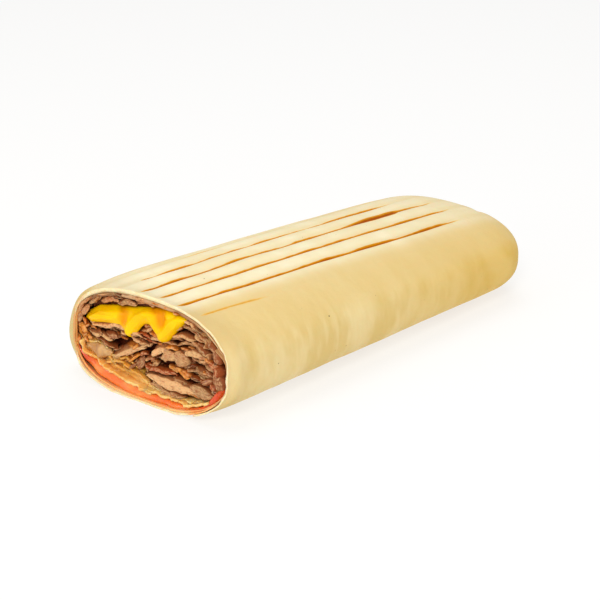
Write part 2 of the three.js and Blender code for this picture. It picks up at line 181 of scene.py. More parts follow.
# %% Read and move points
def deselect():
    if bpy.context.object and bpy.context.object.mode != "OBJECT":
        bpy.ops.object.mode_set(mode="OBJECT")
    bpy.ops.object.select_all(action="DESELECT")


def grid(name, columns, rows):
    """A flat grid whose points can be read as an array of rows by columns."""
    deselect()
    bpy.ops.mesh.primitive_grid_add(x_subdivisions=columns - 1, y_subdivisions=rows - 1, size=1)
    piece = bpy.context.object
    piece.name = piece.data.name = name
    return piece


def shape(piece, points):
    """Moves every point of a mesh to its place in millimetres."""
    piece.data.vertices.foreach_set("co", (points + MIDDLE).ravel() * MM)
    piece.data.update()


def points_of(piece):
    co = np.empty(len(piece.data.vertices) * 3)
    piece.data.vertices.foreach_get("co", co)
    return co.reshape(-1, 3) / MM - MIDDLE


def paint(piece, name, values):
    """Keeps one number for each point of a mesh, for its material to read."""
    layer = piece.data.attributes.new(name, "FLOAT", "POINT")
    layer.data.foreach_set("value", np.asarray(values, np.float32).ravel())


print("lengths in the script are in mm, in Blender in m: 1 mm is", MM)

# %% [markdown]
# ## Unevenness
#
# Nothing cooked is even. We could sculpt every bump by hand, but a smooth random value in space
# bends bread, meat and leaves alike, and it is the same on every run.

# %% Smooth noise
def lattice(cells, seed):
    """Random numbers at whole-numbered places, the same on every run."""
    i, j, k = (c.astype(np.int64) for c in cells)
    n = (i * 374761393 + j * 668265263 + k * 2147483647 + seed * 1274126177) & 0xFFFFFFFF
    n = ((n ^ (n >> 13)) * 1274126177) & 0xFFFFFFFF
    return ((n ^ (n >> 16)) & 0xFFFF) / 32767.5 - 1


def noise(x, y, z, seed=0):
    """Smooth noise from -1 to 1, one bump to a unit."""
    p = np.stack(np.broadcast_arrays(x, y, z)).astype(float)
    cell = np.floor(p)
    f = p - cell
    f = f * f * (3 - 2 * f)
    total = 0
    for corner in np.ndindex(2, 2, 2):
        c = np.array(corner).reshape(3, *([1] * (p.ndim - 1)))
        weight = np.prod(np.where(c, f, 1 - f), axis=0)
        total = total + weight * lattice(cell + c, seed)
    return total


print("noise at three places:", np.round(noise(np.array([0.3, 1.7, 4.2]), 0, 0), 2))

# %% [markdown]
# ## Modifiers and finishing
#
# A modifier only lasts if it is applied, so `modifier` does both. `finish_piece` ends the work on
# every piece: points that lie on one another are merged first, then the faces are turned
# outwards, and only then is the piece dressed, the frame's solids that it replaces are hidden,
# and it is tied to the root.

# %% Finish a piece
def activate(piece):
    deselect()
    piece.select_set(True)
    bpy.context.view_layer.objects.active = piece


def modifier(piece, kind, **settings):
    """Adds a modifier and applies it, so that its result is in the mesh."""
    activate(piece)
    added = piece.modifiers.new(kind.title(), kind)
    for key, value in settings.items():
        setattr(added, key, value)
    bpy.ops.object.modifier_apply(modifier=added.name)


def edit(piece):
    activate(piece)
    bpy.ops.object.mode_set(mode="EDIT")
    bpy.ops.mesh.select_all(action="SELECT")


def close_up(piece):
    """Merges the points that lie on one another and turns the faces outwards."""
    edit(piece)
    bpy.ops.mesh.remove_doubles(threshold=0.00002)
    bpy.ops.mesh.select_all(action="SELECT")
    bpy.ops.mesh.normals_make_consistent(inside=False)
    bpy.ops.object.mode_set(mode="OBJECT")
    deselect()


def finish_piece(piece, materials, slot, *nodes):
    """Smooth, faces outwards, dressed, and tied to the frame."""
    close_up(piece)
    piece.select_set(True)
    bpy.ops.object.shade_smooth()
    slots = piece.data.materials
    for index, made in enumerate(materials):
        if index < len(slots):
            slots[index] = made
        else:
            slots.append(made)
    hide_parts(*nodes)
    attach(piece, "root")
    triangles = sum(len(p.vertices) - 2 for p in piece.data.polygons)
    print(piece.name, "has", triangles, "triangles")
    deselect()


print("tools for pieces ready")

# %% [markdown]
# ## Shader helpers
#
# Food is never one flat colour. Each material below mixes two or three colours by noise at the
# scale of the real thing. These helpers place a node and link its inputs in one line, so that a
# material reads like a recipe.

# %% Shader helpers
def srgb(r, g, b):
    """A colour as it looks on screen, given as 0 to 255, made linear for the shader."""
    values = [c / 255 for c in (r, g, b)]
    return [c / 12.92 if c <= 0.04045 else ((c + 0.055) / 1.055) ** 2.4 for c in values] + [1]


class Recipe:
    """A node tree that is written one node to a line."""

    def __init__(self, tree):
        self.tree = tree
        self.tree.nodes.clear()

    def feed(self, socket, value):
        """Links another node's output to a socket, or sets the socket's own value."""
        if isinstance(value, bpy.types.NodeSocket):
            self.tree.links.new(value, socket)
        else:
            socket.default_value = value

    def add(self, kind, inputs=None, **settings):
        node = self.tree.nodes.new(kind)
        for key, value in settings.items():
            setattr(node, key, value)
        for key, value in (inputs or {}).items():
            self.feed(node.inputs[key], value)
        return node

    def spot(self):
        """The place on the piece, in its own Object coordinates."""
        return self.add("ShaderNodeTexCoord").outputs["Object"]

    def axis(self, vector, name):
        return self.add("ShaderNodeSeparateXYZ", {"Vector": vector}).outputs[name]

    def noise(self, vector, scale, detail=2.0, rough=0.5, distortion=0.0):
        inputs = {"Vector": vector, "Scale": scale, "Detail": detail,
                  "Roughness": rough, "Distortion": distortion}
        return self.add("ShaderNodeTexNoise", inputs).outputs["Fac"]

    def stretch(self, vector, scale):
        return self.add("ShaderNodeMapping", {"Vector": vector, "Scale": scale}).outputs[0]

    def range(self, value, low, high, to_low=0.0, to_high=1.0):
        inputs = {"Value": value, "From Min": low, "From Max": high,
                  "To Min": to_low, "To Max": to_high}
        return self.add("ShaderNodeMapRange", inputs, interpolation_type="SMOOTHSTEP").outputs[0]

    def math(self, operation, a, b=0.0, c=0.0):
        node = self.add("ShaderNodeMath", operation=operation)
        for socket, value in zip(node.inputs, (a, b, c)):
            self.feed(socket, value)
        return node.outputs[0]

    def mix(self, factor, a, b, blend="MIX"):
        node = self.add("ShaderNodeMix", data_type="RGBA", blend_type=blend)
        for index, value in ((0, factor), (6, a), (7, b)):
            self.feed(node.inputs[index], value)
        return node.outputs[2]

    def times(self, a, b):
        return self.math("MULTIPLY", a, b)

    def tint(self, base, tone, amount):
        return self.mix(amount, base, srgb(*tone))

    def drift(self, mask, low, high, a, b):
        """A colour that goes from a to b as the mask goes from low to high."""
        return self.mix(self.range(mask, low, high), srgb(*a), srgb(*b))

    def wash(self, base, tone, mask, low, high, amount=1.0):
        """Lays a tone over a colour as the mask goes from low to high, up to an amount."""
        return self.tint(base, tone, self.range(mask, low, high, 0.0, amount))

    def value(self, name):
        return self.add("ShaderNodeAttribute", attribute_name=name).outputs["Fac"]

    def bump(self, height, distance, strength=1.0, normal=None):
        inputs = {"Height": height, "Distance": distance, "Strength": strength}
        if normal is not None:
            inputs["Normal"] = normal
        return self.add("ShaderNodeBump", inputs).outputs[0]


def material(name, **shader):
    """A new material with a Principled shader, and the recipe to fill it."""
    made = bpy.data.materials.new(name)
    made.use_nodes = True
    recipe = Recipe(made.node_tree)
    principled = recipe.add("ShaderNodeBsdfPrincipled")
    out = recipe.add("ShaderNodeOutputMaterial")
    recipe.tree.links.new(principled.outputs[0], out.inputs[0])
    for key, value in shader.items():
        principled.inputs[key.replace("_", " ").title().replace("Ior", "IOR")].default_value = value
    return made, recipe, principled


def connect(recipe, principled, **links):
    """Links what changes over the surface to the shader's sockets."""
    for key, value in links.items():
        recipe.tree.links.new(value, principled.inputs[key.replace("_", " ").title()])


print("helpers ready")

# %% [markdown]
# ## The lavash sheet
#
# Lavash is a thin flatbread, little thicker than a coin, rolled a little more than two turns round
# the fillings. We could model the roll as a solid and carve the gaps, but a sheet is a sheet: we
# add one flat grid, roll it up with a formula, and let Solidify give it its thickness. The grill
# presses thin grooves into the top, and the bread between them puffs up like small cushions.

# %% How the sheet is pressed and puffed
GRILL_PITCH = 8.49
GRILL_CENTRE = -1.71
GRILL_FAN = 0.203
GRILL_LINES = [  # start and end along the wrap, depth, and darkness
    (34, 66, 0.35, 0.35), (10, 141, 0.9, 1.0), (1.5, 154, 1.0, 1.0),
    (1.5, 154, 0.9, 0.9), (1.0, 148, 1.0, 1.0), (2, 42, 0.35, 0.3),
]


def seam_dip(angle):
    """The sheet slopes down before the seam, to slip under its own outer edge."""
    before = angle - SEAM
    return np.where(before >= 0, 1.65 * smooth(SEAM_RAMP - before, 0, SEAM_RAMP), 0)


def sheet_depth(turn):
    """How deep under the outer face a turn lies, growing by one pitch for each turn."""
    whole = np.floor(turn / (2 * math.pi) + 1e-9)
    rest = turn - whole * 2 * math.pi
    return PITCH * whole + seam_dip(SEAM + 2 * math.pi - rest)


def line_coordinate(s, y):
    """0 on the back grill line, 1 on the next one, and so on to 5 on the front one."""
    meander = 0.05 * noise(s / 17, y / 30, 0, 3)
    return 2.5 - (y / (1 + GRILL_FAN * along(s)) - GRILL_CENTRE) / GRILL_PITCH + meander


def grill_relief(s, line, over):
    """Height of the bread over the top: grooves in the lines, puffs between them."""
    groove, reach = 0, 0
    for index, (start, end, depth, _) in enumerate(GRILL_LINES):
        there = smooth(s, start, start + 7) * (1 - smooth(s, end - 9, end))
        away = (line - index) * GRILL_PITCH
        groove = groove + depth * there * hump(away, 0.75)
        reach = np.maximum(reach, there * (np.abs(line - index) < 1))
    between = np.abs(np.sin(math.pi * np.clip(line, -1, 6))) ** 0.8
    inside = smooth(line, -0.9, 0.1) * (1 - smooth(line, 4.6, 5.5))
    puff = between * inside * (0.75 + 0.35 * noise(s / 14, line * 1.3, 5, 8))
    lasting = smooth(s, 2, 12) * (1 - smooth(s, 138, 156))
    return over * (0.75 * puff * lasting - 0.65 * groove)


def end_fold(s, y, z):
    """The sheet is tucked over itself at the closed end, along a slanting crease."""
    on_end = smooth(s, LENGTH - 15, LENGTH - 5)
    above = z - 23.5 + 0.35 * (y - 4) + 1.2 * np.sin(y / 7)
    crease = hump(above, 1.3)
    return on_end * (0.55 * (1 - smooth(above, -1.2, 0.3)) - 0.75 * crease)


print("grill lines:", len(GRILL_LINES))

# %% [markdown]
# The grid has fine columns where the grill lines cross the top and coarser ones in the hidden
# inner turns. Its rows are close together at the cut, where the edges of the turns show, and
# again where the closed end curves in. Each point also keeps what the material needs: where it
# is along and around the sheet, which grill line is near, and how far up the wrap it lies.

# %% Roll up the sheet
def sheet_turns():
    fine = np.linspace(0, 2 * math.pi, 2000)
    angle = np.degrees(SEAM - fine)
    density = np.where((angle > 32) & (angle < 152), 2.3, 1.0)
    share = np.concatenate([[0], np.cumsum(density[1:])])
    outer = np.interp(np.linspace(0, share[-1], 226), share, fine)
    inner = np.linspace(2 * math.pi, INNER_EDGE, 84)[1:]
    return np.concatenate([outer, inner])


def sheet_rows():
    edge = np.array([0, 0.25, 0.6, 1.0, 1.5, 2.1, 2.8, 3.6, 4.6, 5.8])
    body = np.linspace(7.2, LENGTH - END_ROUNDING, 98)
    end = np.radians(np.linspace(86, 0, 27))
    tip = LENGTH - END_ROUNDING * (1 - np.cos(end))
    return np.concatenate([edge, body, tip])


turns, rows = sheet_turns(), sheet_rows()
lavash = grid("lavash_sheet", len(turns), len(rows))
T, S = np.meshgrid(turns, rows)
angle = SEAM - T
ply = T / (2 * math.pi)
# inner turns end a little before the outer one at the closed end, so that none comes through
tucked = 0.9 * smooth(ply, 1.0, 1.08) + 1.6 * np.maximum(ply - 1, 0)
S = S - tucked * smooth(S, LENGTH - 40, LENGTH)
# the knife left the edges of the turns uneven, each a little behind the one outside it
ragged = 0.4 * noise(T * 4, ply, 1, 1) + 0.2 * noise(T * 13, ply, 2, 2) + 0.45 * np.floor(ply)
set_back = smooth(np.degrees(angle) % 360, 105, 130) * (np.degrees(angle) % 360 < 205)
ragged = ragged + 0.5 * np.floor(ply) * set_back
S = S + ragged * (1 - smooth(S, 0, 7))

flat_place = on_section(S, angle, 0 * S)
over = smooth(np.sin(angle), 0.25, 0.6)
line = line_coordinate(S, flat_place[..., 1])
relief = grill_relief(S, line, over)
round_now = rounding(S)
degrees = np.degrees(angle) % 360
# the innermost edge curls away from its neighbour at the cut, and two turns stand loose there
curl = 1.9 * hump(degrees, 24, 138) * (ply > 2.02) * np.exp(-S / 13)
loose = hump(degrees, 30, 150) * (ply > 1.02) * np.exp(-S / 11)
soft = 0.22 * noise(S / 14, angle * 2.2, 0, 4) + 0.05 * noise(S / 6, angle * 4, 1, 5)
soft = soft * smooth(S, 1, 9) * (1 - 0.6 * over)
lifted = 0.7 * hump(degrees, 15, 205) * (ply > 0.8) * np.exp(-S / 9)
depth = sheet_depth(T) * pressed(angle) + lifted + curl + loose - (relief + soft) * round_now
place_now = on_section(S, angle, depth)
place_now[..., 0] += end_fold(S, place_now[..., 1], place_now[..., 2])
# underneath, the cut edge sticks out a little and its turns lie on the floor
lip = smooth(-np.sin(angle), 0.3, 0.8) * hump(S, 2.5)
place_now[..., 0] -= (1.5 - 0.4 * np.floor(ply)) * lip
place_now[..., 2] = np.maximum(place_now[..., 2], 0.53 + 0.33 * sheet_depth(T))
shape(lavash, place_now)

paint(lavash, "line", line)
paint(lavash, "along", S / LENGTH)
paint(lavash, "up", np.sin(angle))
paint(lavash, "inside", np.clip(ply - 0.98, 0, 1) * 50)
print("sheet rolled up from", len(turns), "by", len(rows), "points")

# %% [markdown]
# Solidify grows the sheet inwards by its thickness. It also marks the new inner face and the cut
# edges with a second material, because the crumb inside bread is paler and matt, and the sauce
# has stained it.

# %% Give the sheet its thickness
def outwards(piece):
    """Turns the faces of an open sheet over if they look towards the middle of the wrap."""
    mesh = piece.data
    middle = [p for p in mesh.polygons if abs(p.center.x) < 0.02][:200]
    towards = sum(p.normal.z * (p.center.z - 0.019) + p.normal.y * p.center.y for p in middle)
    if towards < 0:
        edit(piece)
        bpy.ops.mesh.flip_normals()
        bpy.ops.object.mode_set(mode="OBJECT")


outwards(lavash)
group = lavash.vertex_groups.new(name="thickness")
closed = 0.98 - 0.3 * smooth(degrees, 80, 120) * (1 - smooth(degrees, 175, 195))
for index, weight in enumerate((pressed(angle) * closed).ravel()):
    group.add([index], float(weight), "REPLACE")
for _ in ("outside", "crumb"):
    lavash.data.materials.append(None)
modifier(lavash, "SOLIDIFY", thickness=SHOWN_SHEET * MM, offset=-1, use_even_offset=False,
         vertex_group="thickness", thickness_vertex_group=0.0, use_rim=True,
         material_offset=1, material_offset_rim=1)
lavash.vertex_groups.clear()
print("sheet thickness", SHOWN_SHEET, "mm")

# %% [markdown]
# ## What baked bread looks like
#
# The top is nearly white where it puffed, the sides are golden, and the closed end, which lay
# nearest the heat, is deeper still. Grill lines run from gold at their edges to dark brown in the
# middle, and never with an even width. They are drawn from the sheet's own coordinates, so they
# sit exactly in the grooves.

# %% Grill lines as a node group
def grill_group():
    """A node group that gives how toasted the bread is, from the line and place on the sheet."""
    tree = bpy.data.node_groups.new("grill_lines", "ShaderNodeTree")
    for name in ("Line", "Along"):
        tree.interface.new_socket(name, in_out="INPUT", socket_type="NodeSocketFloat")
    tree.interface.new_socket("Toast", in_out="OUTPUT", socket_type="NodeSocketFloat")
    r = Recipe(tree)
    given = r.add("NodeGroupInput")
    out = r.add("NodeGroupOutput")
    line_value, along_value = given.outputs["Line"], given.outputs["Along"]
    place_value = r.add("ShaderNodeCombineXYZ", {"X": along_value, "Y": line_value}).outputs[0]
    uneven = r.noise(r.stretch(place_value, (13, 1.7, 1)), 1.0, 2.0)
    fine = r.noise(r.stretch(place_value, (90, 9, 1)), 1.0, 2.0)
    total = 0.0
    for index, (start, end, _, dark) in enumerate(GRILL_LINES):
        away = r.math("ABSOLUTE", r.math("SUBTRACT", line_value, float(index)))
        soft_start = 9 if start > 20 else 3.5
        rise = r.range(along_value, (start - 1.5) / LENGTH, (start + soft_start) / LENGTH)
        fall = r.range(along_value, (end - 16) / LENGTH, (end + 1) / LENGTH, 1.0, 0.0)
        there = r.times(rise, fall)
        width = r.math("MULTIPLY_ADD", r.range(uneven, 0.25, 0.75), 0.06, 0.066)
        if index == 2:
            burn = r.times(r.range(along_value, 0.61, 0.71),
                           r.range(along_value, 0.74, 0.79, 1.0, 0.0))
            width = r.math("MULTIPLY_ADD", burn, 0.10, width)
            there = r.math("MULTIPLY_ADD", burn, 0.5, there)
        width = r.times(width, r.math("MULTIPLY_ADD", there, 0.5, 0.5))
        near = r.math("DIVIDE", away, width)
        peak = r.range(near, 0.0, 1.25, 1.0, 0.0)
        share = r.times(r.times(peak, there), dark)
        total = r.math("ADD", total, share) if index else share
    total = r.times(total, r.math("MULTIPLY_ADD", uneven, 0.6, 0.62))
    total = r.times(total, r.math("MULTIPLY_ADD", fine, 0.6, 0.7))
    r.tree.links.new(total, out.inputs["Toast"])
    return tree


toast_group = grill_group()
print("the group draws", len(GRILL_LINES), "lines")

# %% [markdown]
# The outside is built up as a baker sees it: side and top first, then painted shade between
# the puffs, on the front shoulder and towards the cut, and then the toast from its pale halo to
# its dark core. Bread is matt, so the shine is kept very low.

# %% Outside of the bread
def bread_outside():
    made, r, shader = material("lavash_outside", subsurface_weight=0.12, ior=1.4,
                               subsurface_scale=0.002, specular_ior_level=0.06)
    spot = r.spot()
    up, far = r.value("up"), r.value("along")
    toast = r.add("ShaderNodeGroup", {}, node_tree=toast_group)
    r.tree.links.new(r.value("line"), toast.inputs["Line"])
    r.tree.links.new(far, toast.inputs["Along"])
    toasted = r.times(toast.outputs["Toast"], r.range(up, 0.2, 0.45))

    cloudy = r.noise(r.stretch(spot, (80, 45, 45)), 1.0, 3.0)
    streaks = r.noise(r.stretch(spot, (260, 70, 70)), 1.0, 2.0)
    side = r.drift(cloudy, 0.35, 0.65, (221, 192, 124), (231, 207, 149))
    side = r.wash(side, (242, 222, 170), streaks, 0.45, 0.72, 0.34)
    golden = r.drift(cloudy, 0.35, 0.65, (218, 178, 87), (226, 190, 109))
    side = r.mix(r.range(far, 0.3, 0.9, 0.0, 0.9), side, golden)
    top = r.drift(cloudy, 0.3, 0.7, (236, 221, 179), (243, 232, 198))
    top = r.wash(top, (231, 213, 170), far, 0.55, 1.0, 0.7)
    near = r.times(r.range(r.value("line"), -2.6, -0.4),
                   r.range(r.value("line"), 5.5, 4.3, 0.0, 1.0))
    above = r.times(r.range(up, 0.55, 0.97), r.range(far, 0.93, 0.995, 1.0, 0.0))
    bread = r.mix(r.times(above, r.math("MULTIPLY_ADD", near, 0.7, 0.3)), side, top)
    # painted shade: each strip between the grill lines is darker towards the lines, as shade beside
    # a puff
    across = r.math("FRACT", r.math("ADD", r.value("line"), 0.02))
    shade = r.math("MAXIMUM", r.range(across, 0.62, 0.97), r.range(across, 0.2, 0.03))
    shade = r.times(r.times(shade, above), near)
    bread = r.tint(bread, (226, 204, 152), r.times(shade, 0.5))
    # painted shade: the front shoulder below the last grill line is darker
    lower = r.times(r.range(r.value("line"), 4.0, 4.9), r.range(up, 0.2, 0.6))
    bread = r.tint(bread, (222, 194, 132), r.times(lower, 0.75))
    # painted shade: the bread is a little darker towards the cut
    bread = r.mix(r.range(far, 0.09, 0.0), bread, (0.88, 0.865, 0.85, 1), "MULTIPLY")
    halo = r.range(toasted, 0.02, 0.3)
    bread = r.tint(bread, (234, 190, 92), r.times(halo, 0.8))
    bread = r.wash(bread, (210, 136, 10), toasted, 0.12, 0.4)
    bread = r.wash(bread, (158, 70, 0), toasted, 0.5, 1.1, 0.9)
    within = r.times(r.range(r.value("inside"), 0.0, 1.0, 0.0, 0.85),
                     r.range(far, 0.84, 0.9, 1.0, 0.0))
    bread = r.tint(bread, (176, 120, 72), within)
    spots = r.noise(spot, 750.0, 1.0)
    spotted = r.times(r.range(spots, 0.80, 0.84, 0.0, 0.8),
                      r.range(far, 0.8, 0.9, 1.0, 0.0))
    bread = r.tint(bread, (120, 80, 45), spotted)
    connect(r, shader, base_color=bread)

    pores = r.noise(spot, 1600.0, 3.0, 0.6)
    pits = r.noise(spot, 380.0, 2.0)
    normal = r.bump(pits, 0.0004, 0.5, r.bump(pores, 0.00012, 0.5))
    connect(r, shader, normal=normal, roughness=r.range(toasted, 0.1, 0.6, 0.62, 0.5))
    return made


outside_bread = bread_outside()
print("made", outside_bread.name)

# %% [markdown]
# The cut edge and the inside of the sheet are pale crumb. Where the turns touch the food they
# have drunk its juice: orange over the tomato, brown beside the meat.

# %% Crumb of the bread
def bread_crumb():
    made, r, shader = material("lavash_crumb", roughness=0.7, subsurface_weight=0.25, ior=1.4,
                               subsurface_scale=0.0015, specular_ior_level=0.3)
    spot = r.spot()
    grain = r.noise(spot, 700.0, 3.0, 0.6)
    stain = r.noise(spot, 70.0, 2.0)
    across = r.axis(spot, "Y")
    crumb = r.drift(grain, 0.3, 0.7, (238, 214, 160), (245, 228, 186))
    inner = r.drift(stain, 0.35, 0.65, (212, 152, 92), (232, 182, 122))
    juice = r.drift(stain, 0.35, 0.65, (242, 158, 84), (246, 192, 124))
    inner = r.mix(r.range(r.value("up"), -0.35, -0.7), inner, juice)
    brown = r.drift(stain, 0.35, 0.65, (166, 114, 74), (204, 156, 110))
    inner = r.mix(r.range(r.value("up"), 0.0, 0.5), inner, brown)
    right = r.range(across, -0.031, -0.021, 0.85, 0.0)
    inner = r.tint(inner, (226, 190, 138), r.times(right, r.range(r.value("up"), -0.4, 0.0)))
    # painted shade: the inner faces of the turns darken deeper into the gaps between them
    within = r.times(r.range(r.value("along"), 0.006, 0.022), 0.85)
    inner = r.tint(inner, (122, 66, 30), within)
    shaded = r.times(r.range(r.value("along"), 0.002, 0.009),
                     r.range(r.value("up"), -0.3, 0.2))
    crumb = r.tint(crumb, (168, 112, 66), r.times(shaded, 0.7))
    crumb = r.mix(r.range(r.value("inside"), 0.0, 1.0, 0.0, 0.9), crumb, inner)
    stained = r.range(across, 0.024, 0.033, 0.0, 0.75)
    crumb = r.tint(crumb, (206, 132, 48), r.times(stained, r.range(stain, 0.3, 0.55)))
    connect(r, shader, base_color=crumb, normal=r.bump(grain, 0.0002, 0.7))
    return made


finish_piece(lavash, [outside_bread, bread_crumb()], "lavash", "lavash")
print("materials on the sheet:", [m.name for m in lavash.data.materials])

# %% [markdown]
# ## Layers between the sheet and the heap
#
# The fillings fill the roll right up to its wall. A layer is a grid wrapped round: its upper
# points follow one curve and its lower points another, and both stop at the wall of the sheet.
# The first rows grow out of the middle line of the layer, which rounds its front edge.

# %% Layers inside the sheet
WALL_GAP = 0.15


def wall(s, turned=np.linspace(0, 2 * math.pi, 361)):
    """Points of the sheet's inner face across the wrap, at the distance s from the cut."""
    last = turned + 2 * math.pi * np.where(turned + 4 * math.pi <= INNER_EDGE, 2, 1)
    depth = (sheet_depth(last) + SHEET) * pressed(SEAM - turned) + WALL_GAP
    points = on_section(np.full_like(turned, float(s)), SEAM - turned, depth)
    return points[:, 1], points[:, 2]


def wall_heights(s, y):
    """The lowest and the highest place inside the sheet above each y."""
    ys, zs = wall(s)
    middle = centre_z(s)
    low, high = zs < middle, zs >= middle
    a, b = np.argsort(ys[low]), np.argsort(ys[high])
    return (np.interp(y, ys[low][a], zs[low][a], left=middle, right=middle),
            np.interp(y, ys[high][b], zs[high][b], left=middle, right=middle))


def curve(points, s):
    """Reads a curve drawn on the cut, carried to the section at s, as a function of y."""
    table = np.array(sorted(points), float)
    at = from_cut(np.full(len(table), float(s)), table[:, 0], table[:, 1])
    return lambda y: np.interp(y, at[:, 1], at[:, 2])


def layer(name, upper, lower, start, end, columns=60, stations=14, front=1.5, reach=(-60, 60)):
    """A closed solid between two curves and the wall. None stands for the wall itself."""
    cap = np.linspace(0, 1, 7)
    body = start + front + (end - start - front) * np.linspace(0, 1, stations) ** 1.6
    rows = np.concatenate([start + front * (1 - np.sqrt(1 - cap ** 2)), body[1:], [end]])
    grown = np.concatenate([cap, np.ones(stations - 1), [0]])
    sweep = 0.5 - 0.5 * np.cos(np.linspace(0, math.pi, columns))
    result = []
    for s, share in zip(rows, grown):
        wide = np.linspace(-45, 45, 1801)
        wide = wide[(wide > reach[0]) & (wide < reach[1])]
        low, high = wall_heights(s, wide)
        top = high if upper is None else np.minimum(high, curve(upper, s)(wide))
        under = low if lower is None else np.maximum(low, curve(lower, s)(wide))
        inside = wide[top - under > 0.04]
        y = inside[0] + (inside[-1] - inside[0]) * sweep
        top, under = np.interp(y, wide, top), np.interp(y, wide, under)
        top = np.maximum(top, under)
        middle = (top + under) / 2
        half = (top - under) / 2 * share
        half[0] = half[-1] = 0
        ring_y = np.concatenate([y, y[::-1]])
        ring_z = np.concatenate([middle + half, (middle - half)[::-1]])
        result.append(place(np.full_like(ring_y, s), ring_y, ring_z))
    piece = grid(name, 2 * columns, len(rows))
    shape(piece, np.array(result))
    return piece


def join(name, pieces):
    """Makes one object of several, under a new name."""
    deselect()
    for piece in pieces:
        piece.select_set(True)
    bpy.context.view_layer.objects.active = pieces[0]
    bpy.ops.object.join()
    whole = bpy.context.object
    whole.name = whole.data.name = name
    deselect()
    return whole


print("inside height at the cut", np.round(np.ptp(wall_heights(0, 0)), 1), "mm")

# %% [markdown]
# The borders between the fillings are drawn once, as points on the cut, from the left of the
# wrap to its right. Neighbouring layers share a border, so nothing is left open between them.

# %% Borders drawn on the cut
TOMATO_TOP = [(38, 22), (32.4, 17.6), (30.4, 13.6), (28.4, 11.0), (25, 9.3), (20, 8.8),
              (14.8, 6.6), (8, 5.5), (0, 4.5), (-12, 3.8), (-22, 4.0), (-27, 6.2),
              (-31, 10.8), (-34.5, 15), (-38, 20)]
CABBAGE_TOP = [(38, 19), (28.4, 15.4), (22, 15.2), (14, 14.6), (11, 12.2), (5, 12.2), (0, 10.6),
               (-3.5, 7.0), (-14, 5.5), (-20, 5.7), (-27, 7.4), (-33, 12), (-38, 18)]
CHEESE_TOP = [(26.2, 22.9), (25, 24.9), (20, 28.2), (14, 29.8), (7, 31.0), (0, 32.8), (-8, 34.7),
              (-15, 34.8), (-18.4, 33.9)]
CHEESE_UNDER = [(-18.4, 33.5), (-17, 31.6), (-14.4, 28.5), (-12.4, 25.9), (-10.6, 23.8),
                (-8.3, 22.9), (-6.1, 24.5), (-3.9, 27.3), (-1.1, 28.2), (0.9, 26.3), (2.9, 22.9),
                (5.9, 20.8), (8.7, 22.9), (11, 24.1), (18, 23.2), (24, 21.9), (26.2, 22.4)]
print("curves of the layers ready")

# %% [markdown]
# ## Tomato
#
# Two overlapping slices lie at the bottom, and we look at their cut edges. Wet tomato flesh is
# more see-through than any other food here, so light should go into it: subsurface scattering
# with a wide radius, and a glossy coat for the juice.

# %% Tomato slices
def wavy_front(piece, amount, size, seed, deep=7.0):
    """Pushes the front of a piece in and out a little, and less further inside."""
    p = points_of(piece)
    s = p[:, 0] + LENGTH / 2 - cut_lean(p[:, 1], p[:, 2])
    push = noise(p[:, 1] / size, p[:, 2] / size, p[:, 0] / size, seed)
    push = push + 0.5 * noise(p[:, 1] / size * 2.3, p[:, 2] / size * 2.3, p[:, 0] / size, seed + 1)
    fade = 1 - smooth(s, 0, deep)
    p[:, 0] += amount * push * fade
    p[:, 2] += 0.4 * amount * noise(p[:, 1] / size, s / size, 0 * s, seed + 2) * fade
    shape(piece, p)
    paint(piece, "deep", np.maximum(s, 0))


def tomato_flesh(name, flesh, deep, light):
    """Flesh in clouds of two colours, deeper where the skin begins at the tips."""
    made, r, shader = material(name, roughness=0.22, subsurface_weight=0.5,
                               subsurface_scale=0.004, ior=1.38, coat_weight=0.3,
                               coat_roughness=0.1, subsurface_radius=(1.0, 0.35, 0.15))
    spot = r.spot()
    cells = r.noise(spot, 260.0, 3.0, 0.6)
    clouds = r.noise(r.stretch(spot, (1, 1, 1.6)), 90.0, 2.0)
    colour = r.drift(clouds, 0.4, 0.62, flesh, light)
    colour = r.wash(colour, deep, cells, 0.5, 0.75, 0.6)
    across = r.axis(spot, "Y")
    tip = r.math("MAXIMUM", r.range(across, 0.0235, 0.0275),
                 r.range(across, -0.031, -0.027, 1.0, 0.0))
    colour = r.tint(colour, deep, r.times(tip, 0.8))
    connect(r, shader, base_color=colour, normal=r.bump(cells, 0.00025, 0.5))
    return made


tomato_1 = layer("tomato_front", TOMATO_TOP, None, 0.0, FILLING_END, 70, 16, 0.9, (-21, 60))
tomato_2 = layer("tomato_right", TOMATO_TOP, None, 0.0, FILLING_END, 36, 16, 0.9, (-60, -21.2))
wavy_front(tomato_1, 0.5, 5, 20)
wavy_front(tomato_2, 0.4, 4, 24)
orange = tomato_flesh("tomato_flesh_orange", (238, 114, 44), (206, 62, 16), (247, 148, 68))
red = tomato_flesh("tomato_flesh_red", (240, 96, 26), (204, 58, 10), (248, 132, 50))
finish_piece(tomato_1, [orange], "tomato", "tomato_slice_1")
finish_piece(tomato_2, [red], "tomato", "tomato_slice_2")

# %% [markdown]
# ## Cabbage
#
# Shredded white cabbage is a pile of thin ruffled ribbons. Each ribbon is a grid that follows a
# line drawn on the cut, waved by noise, and thickened with Solidify. The ones in front stand
# free, and a packed core fills the space behind them.

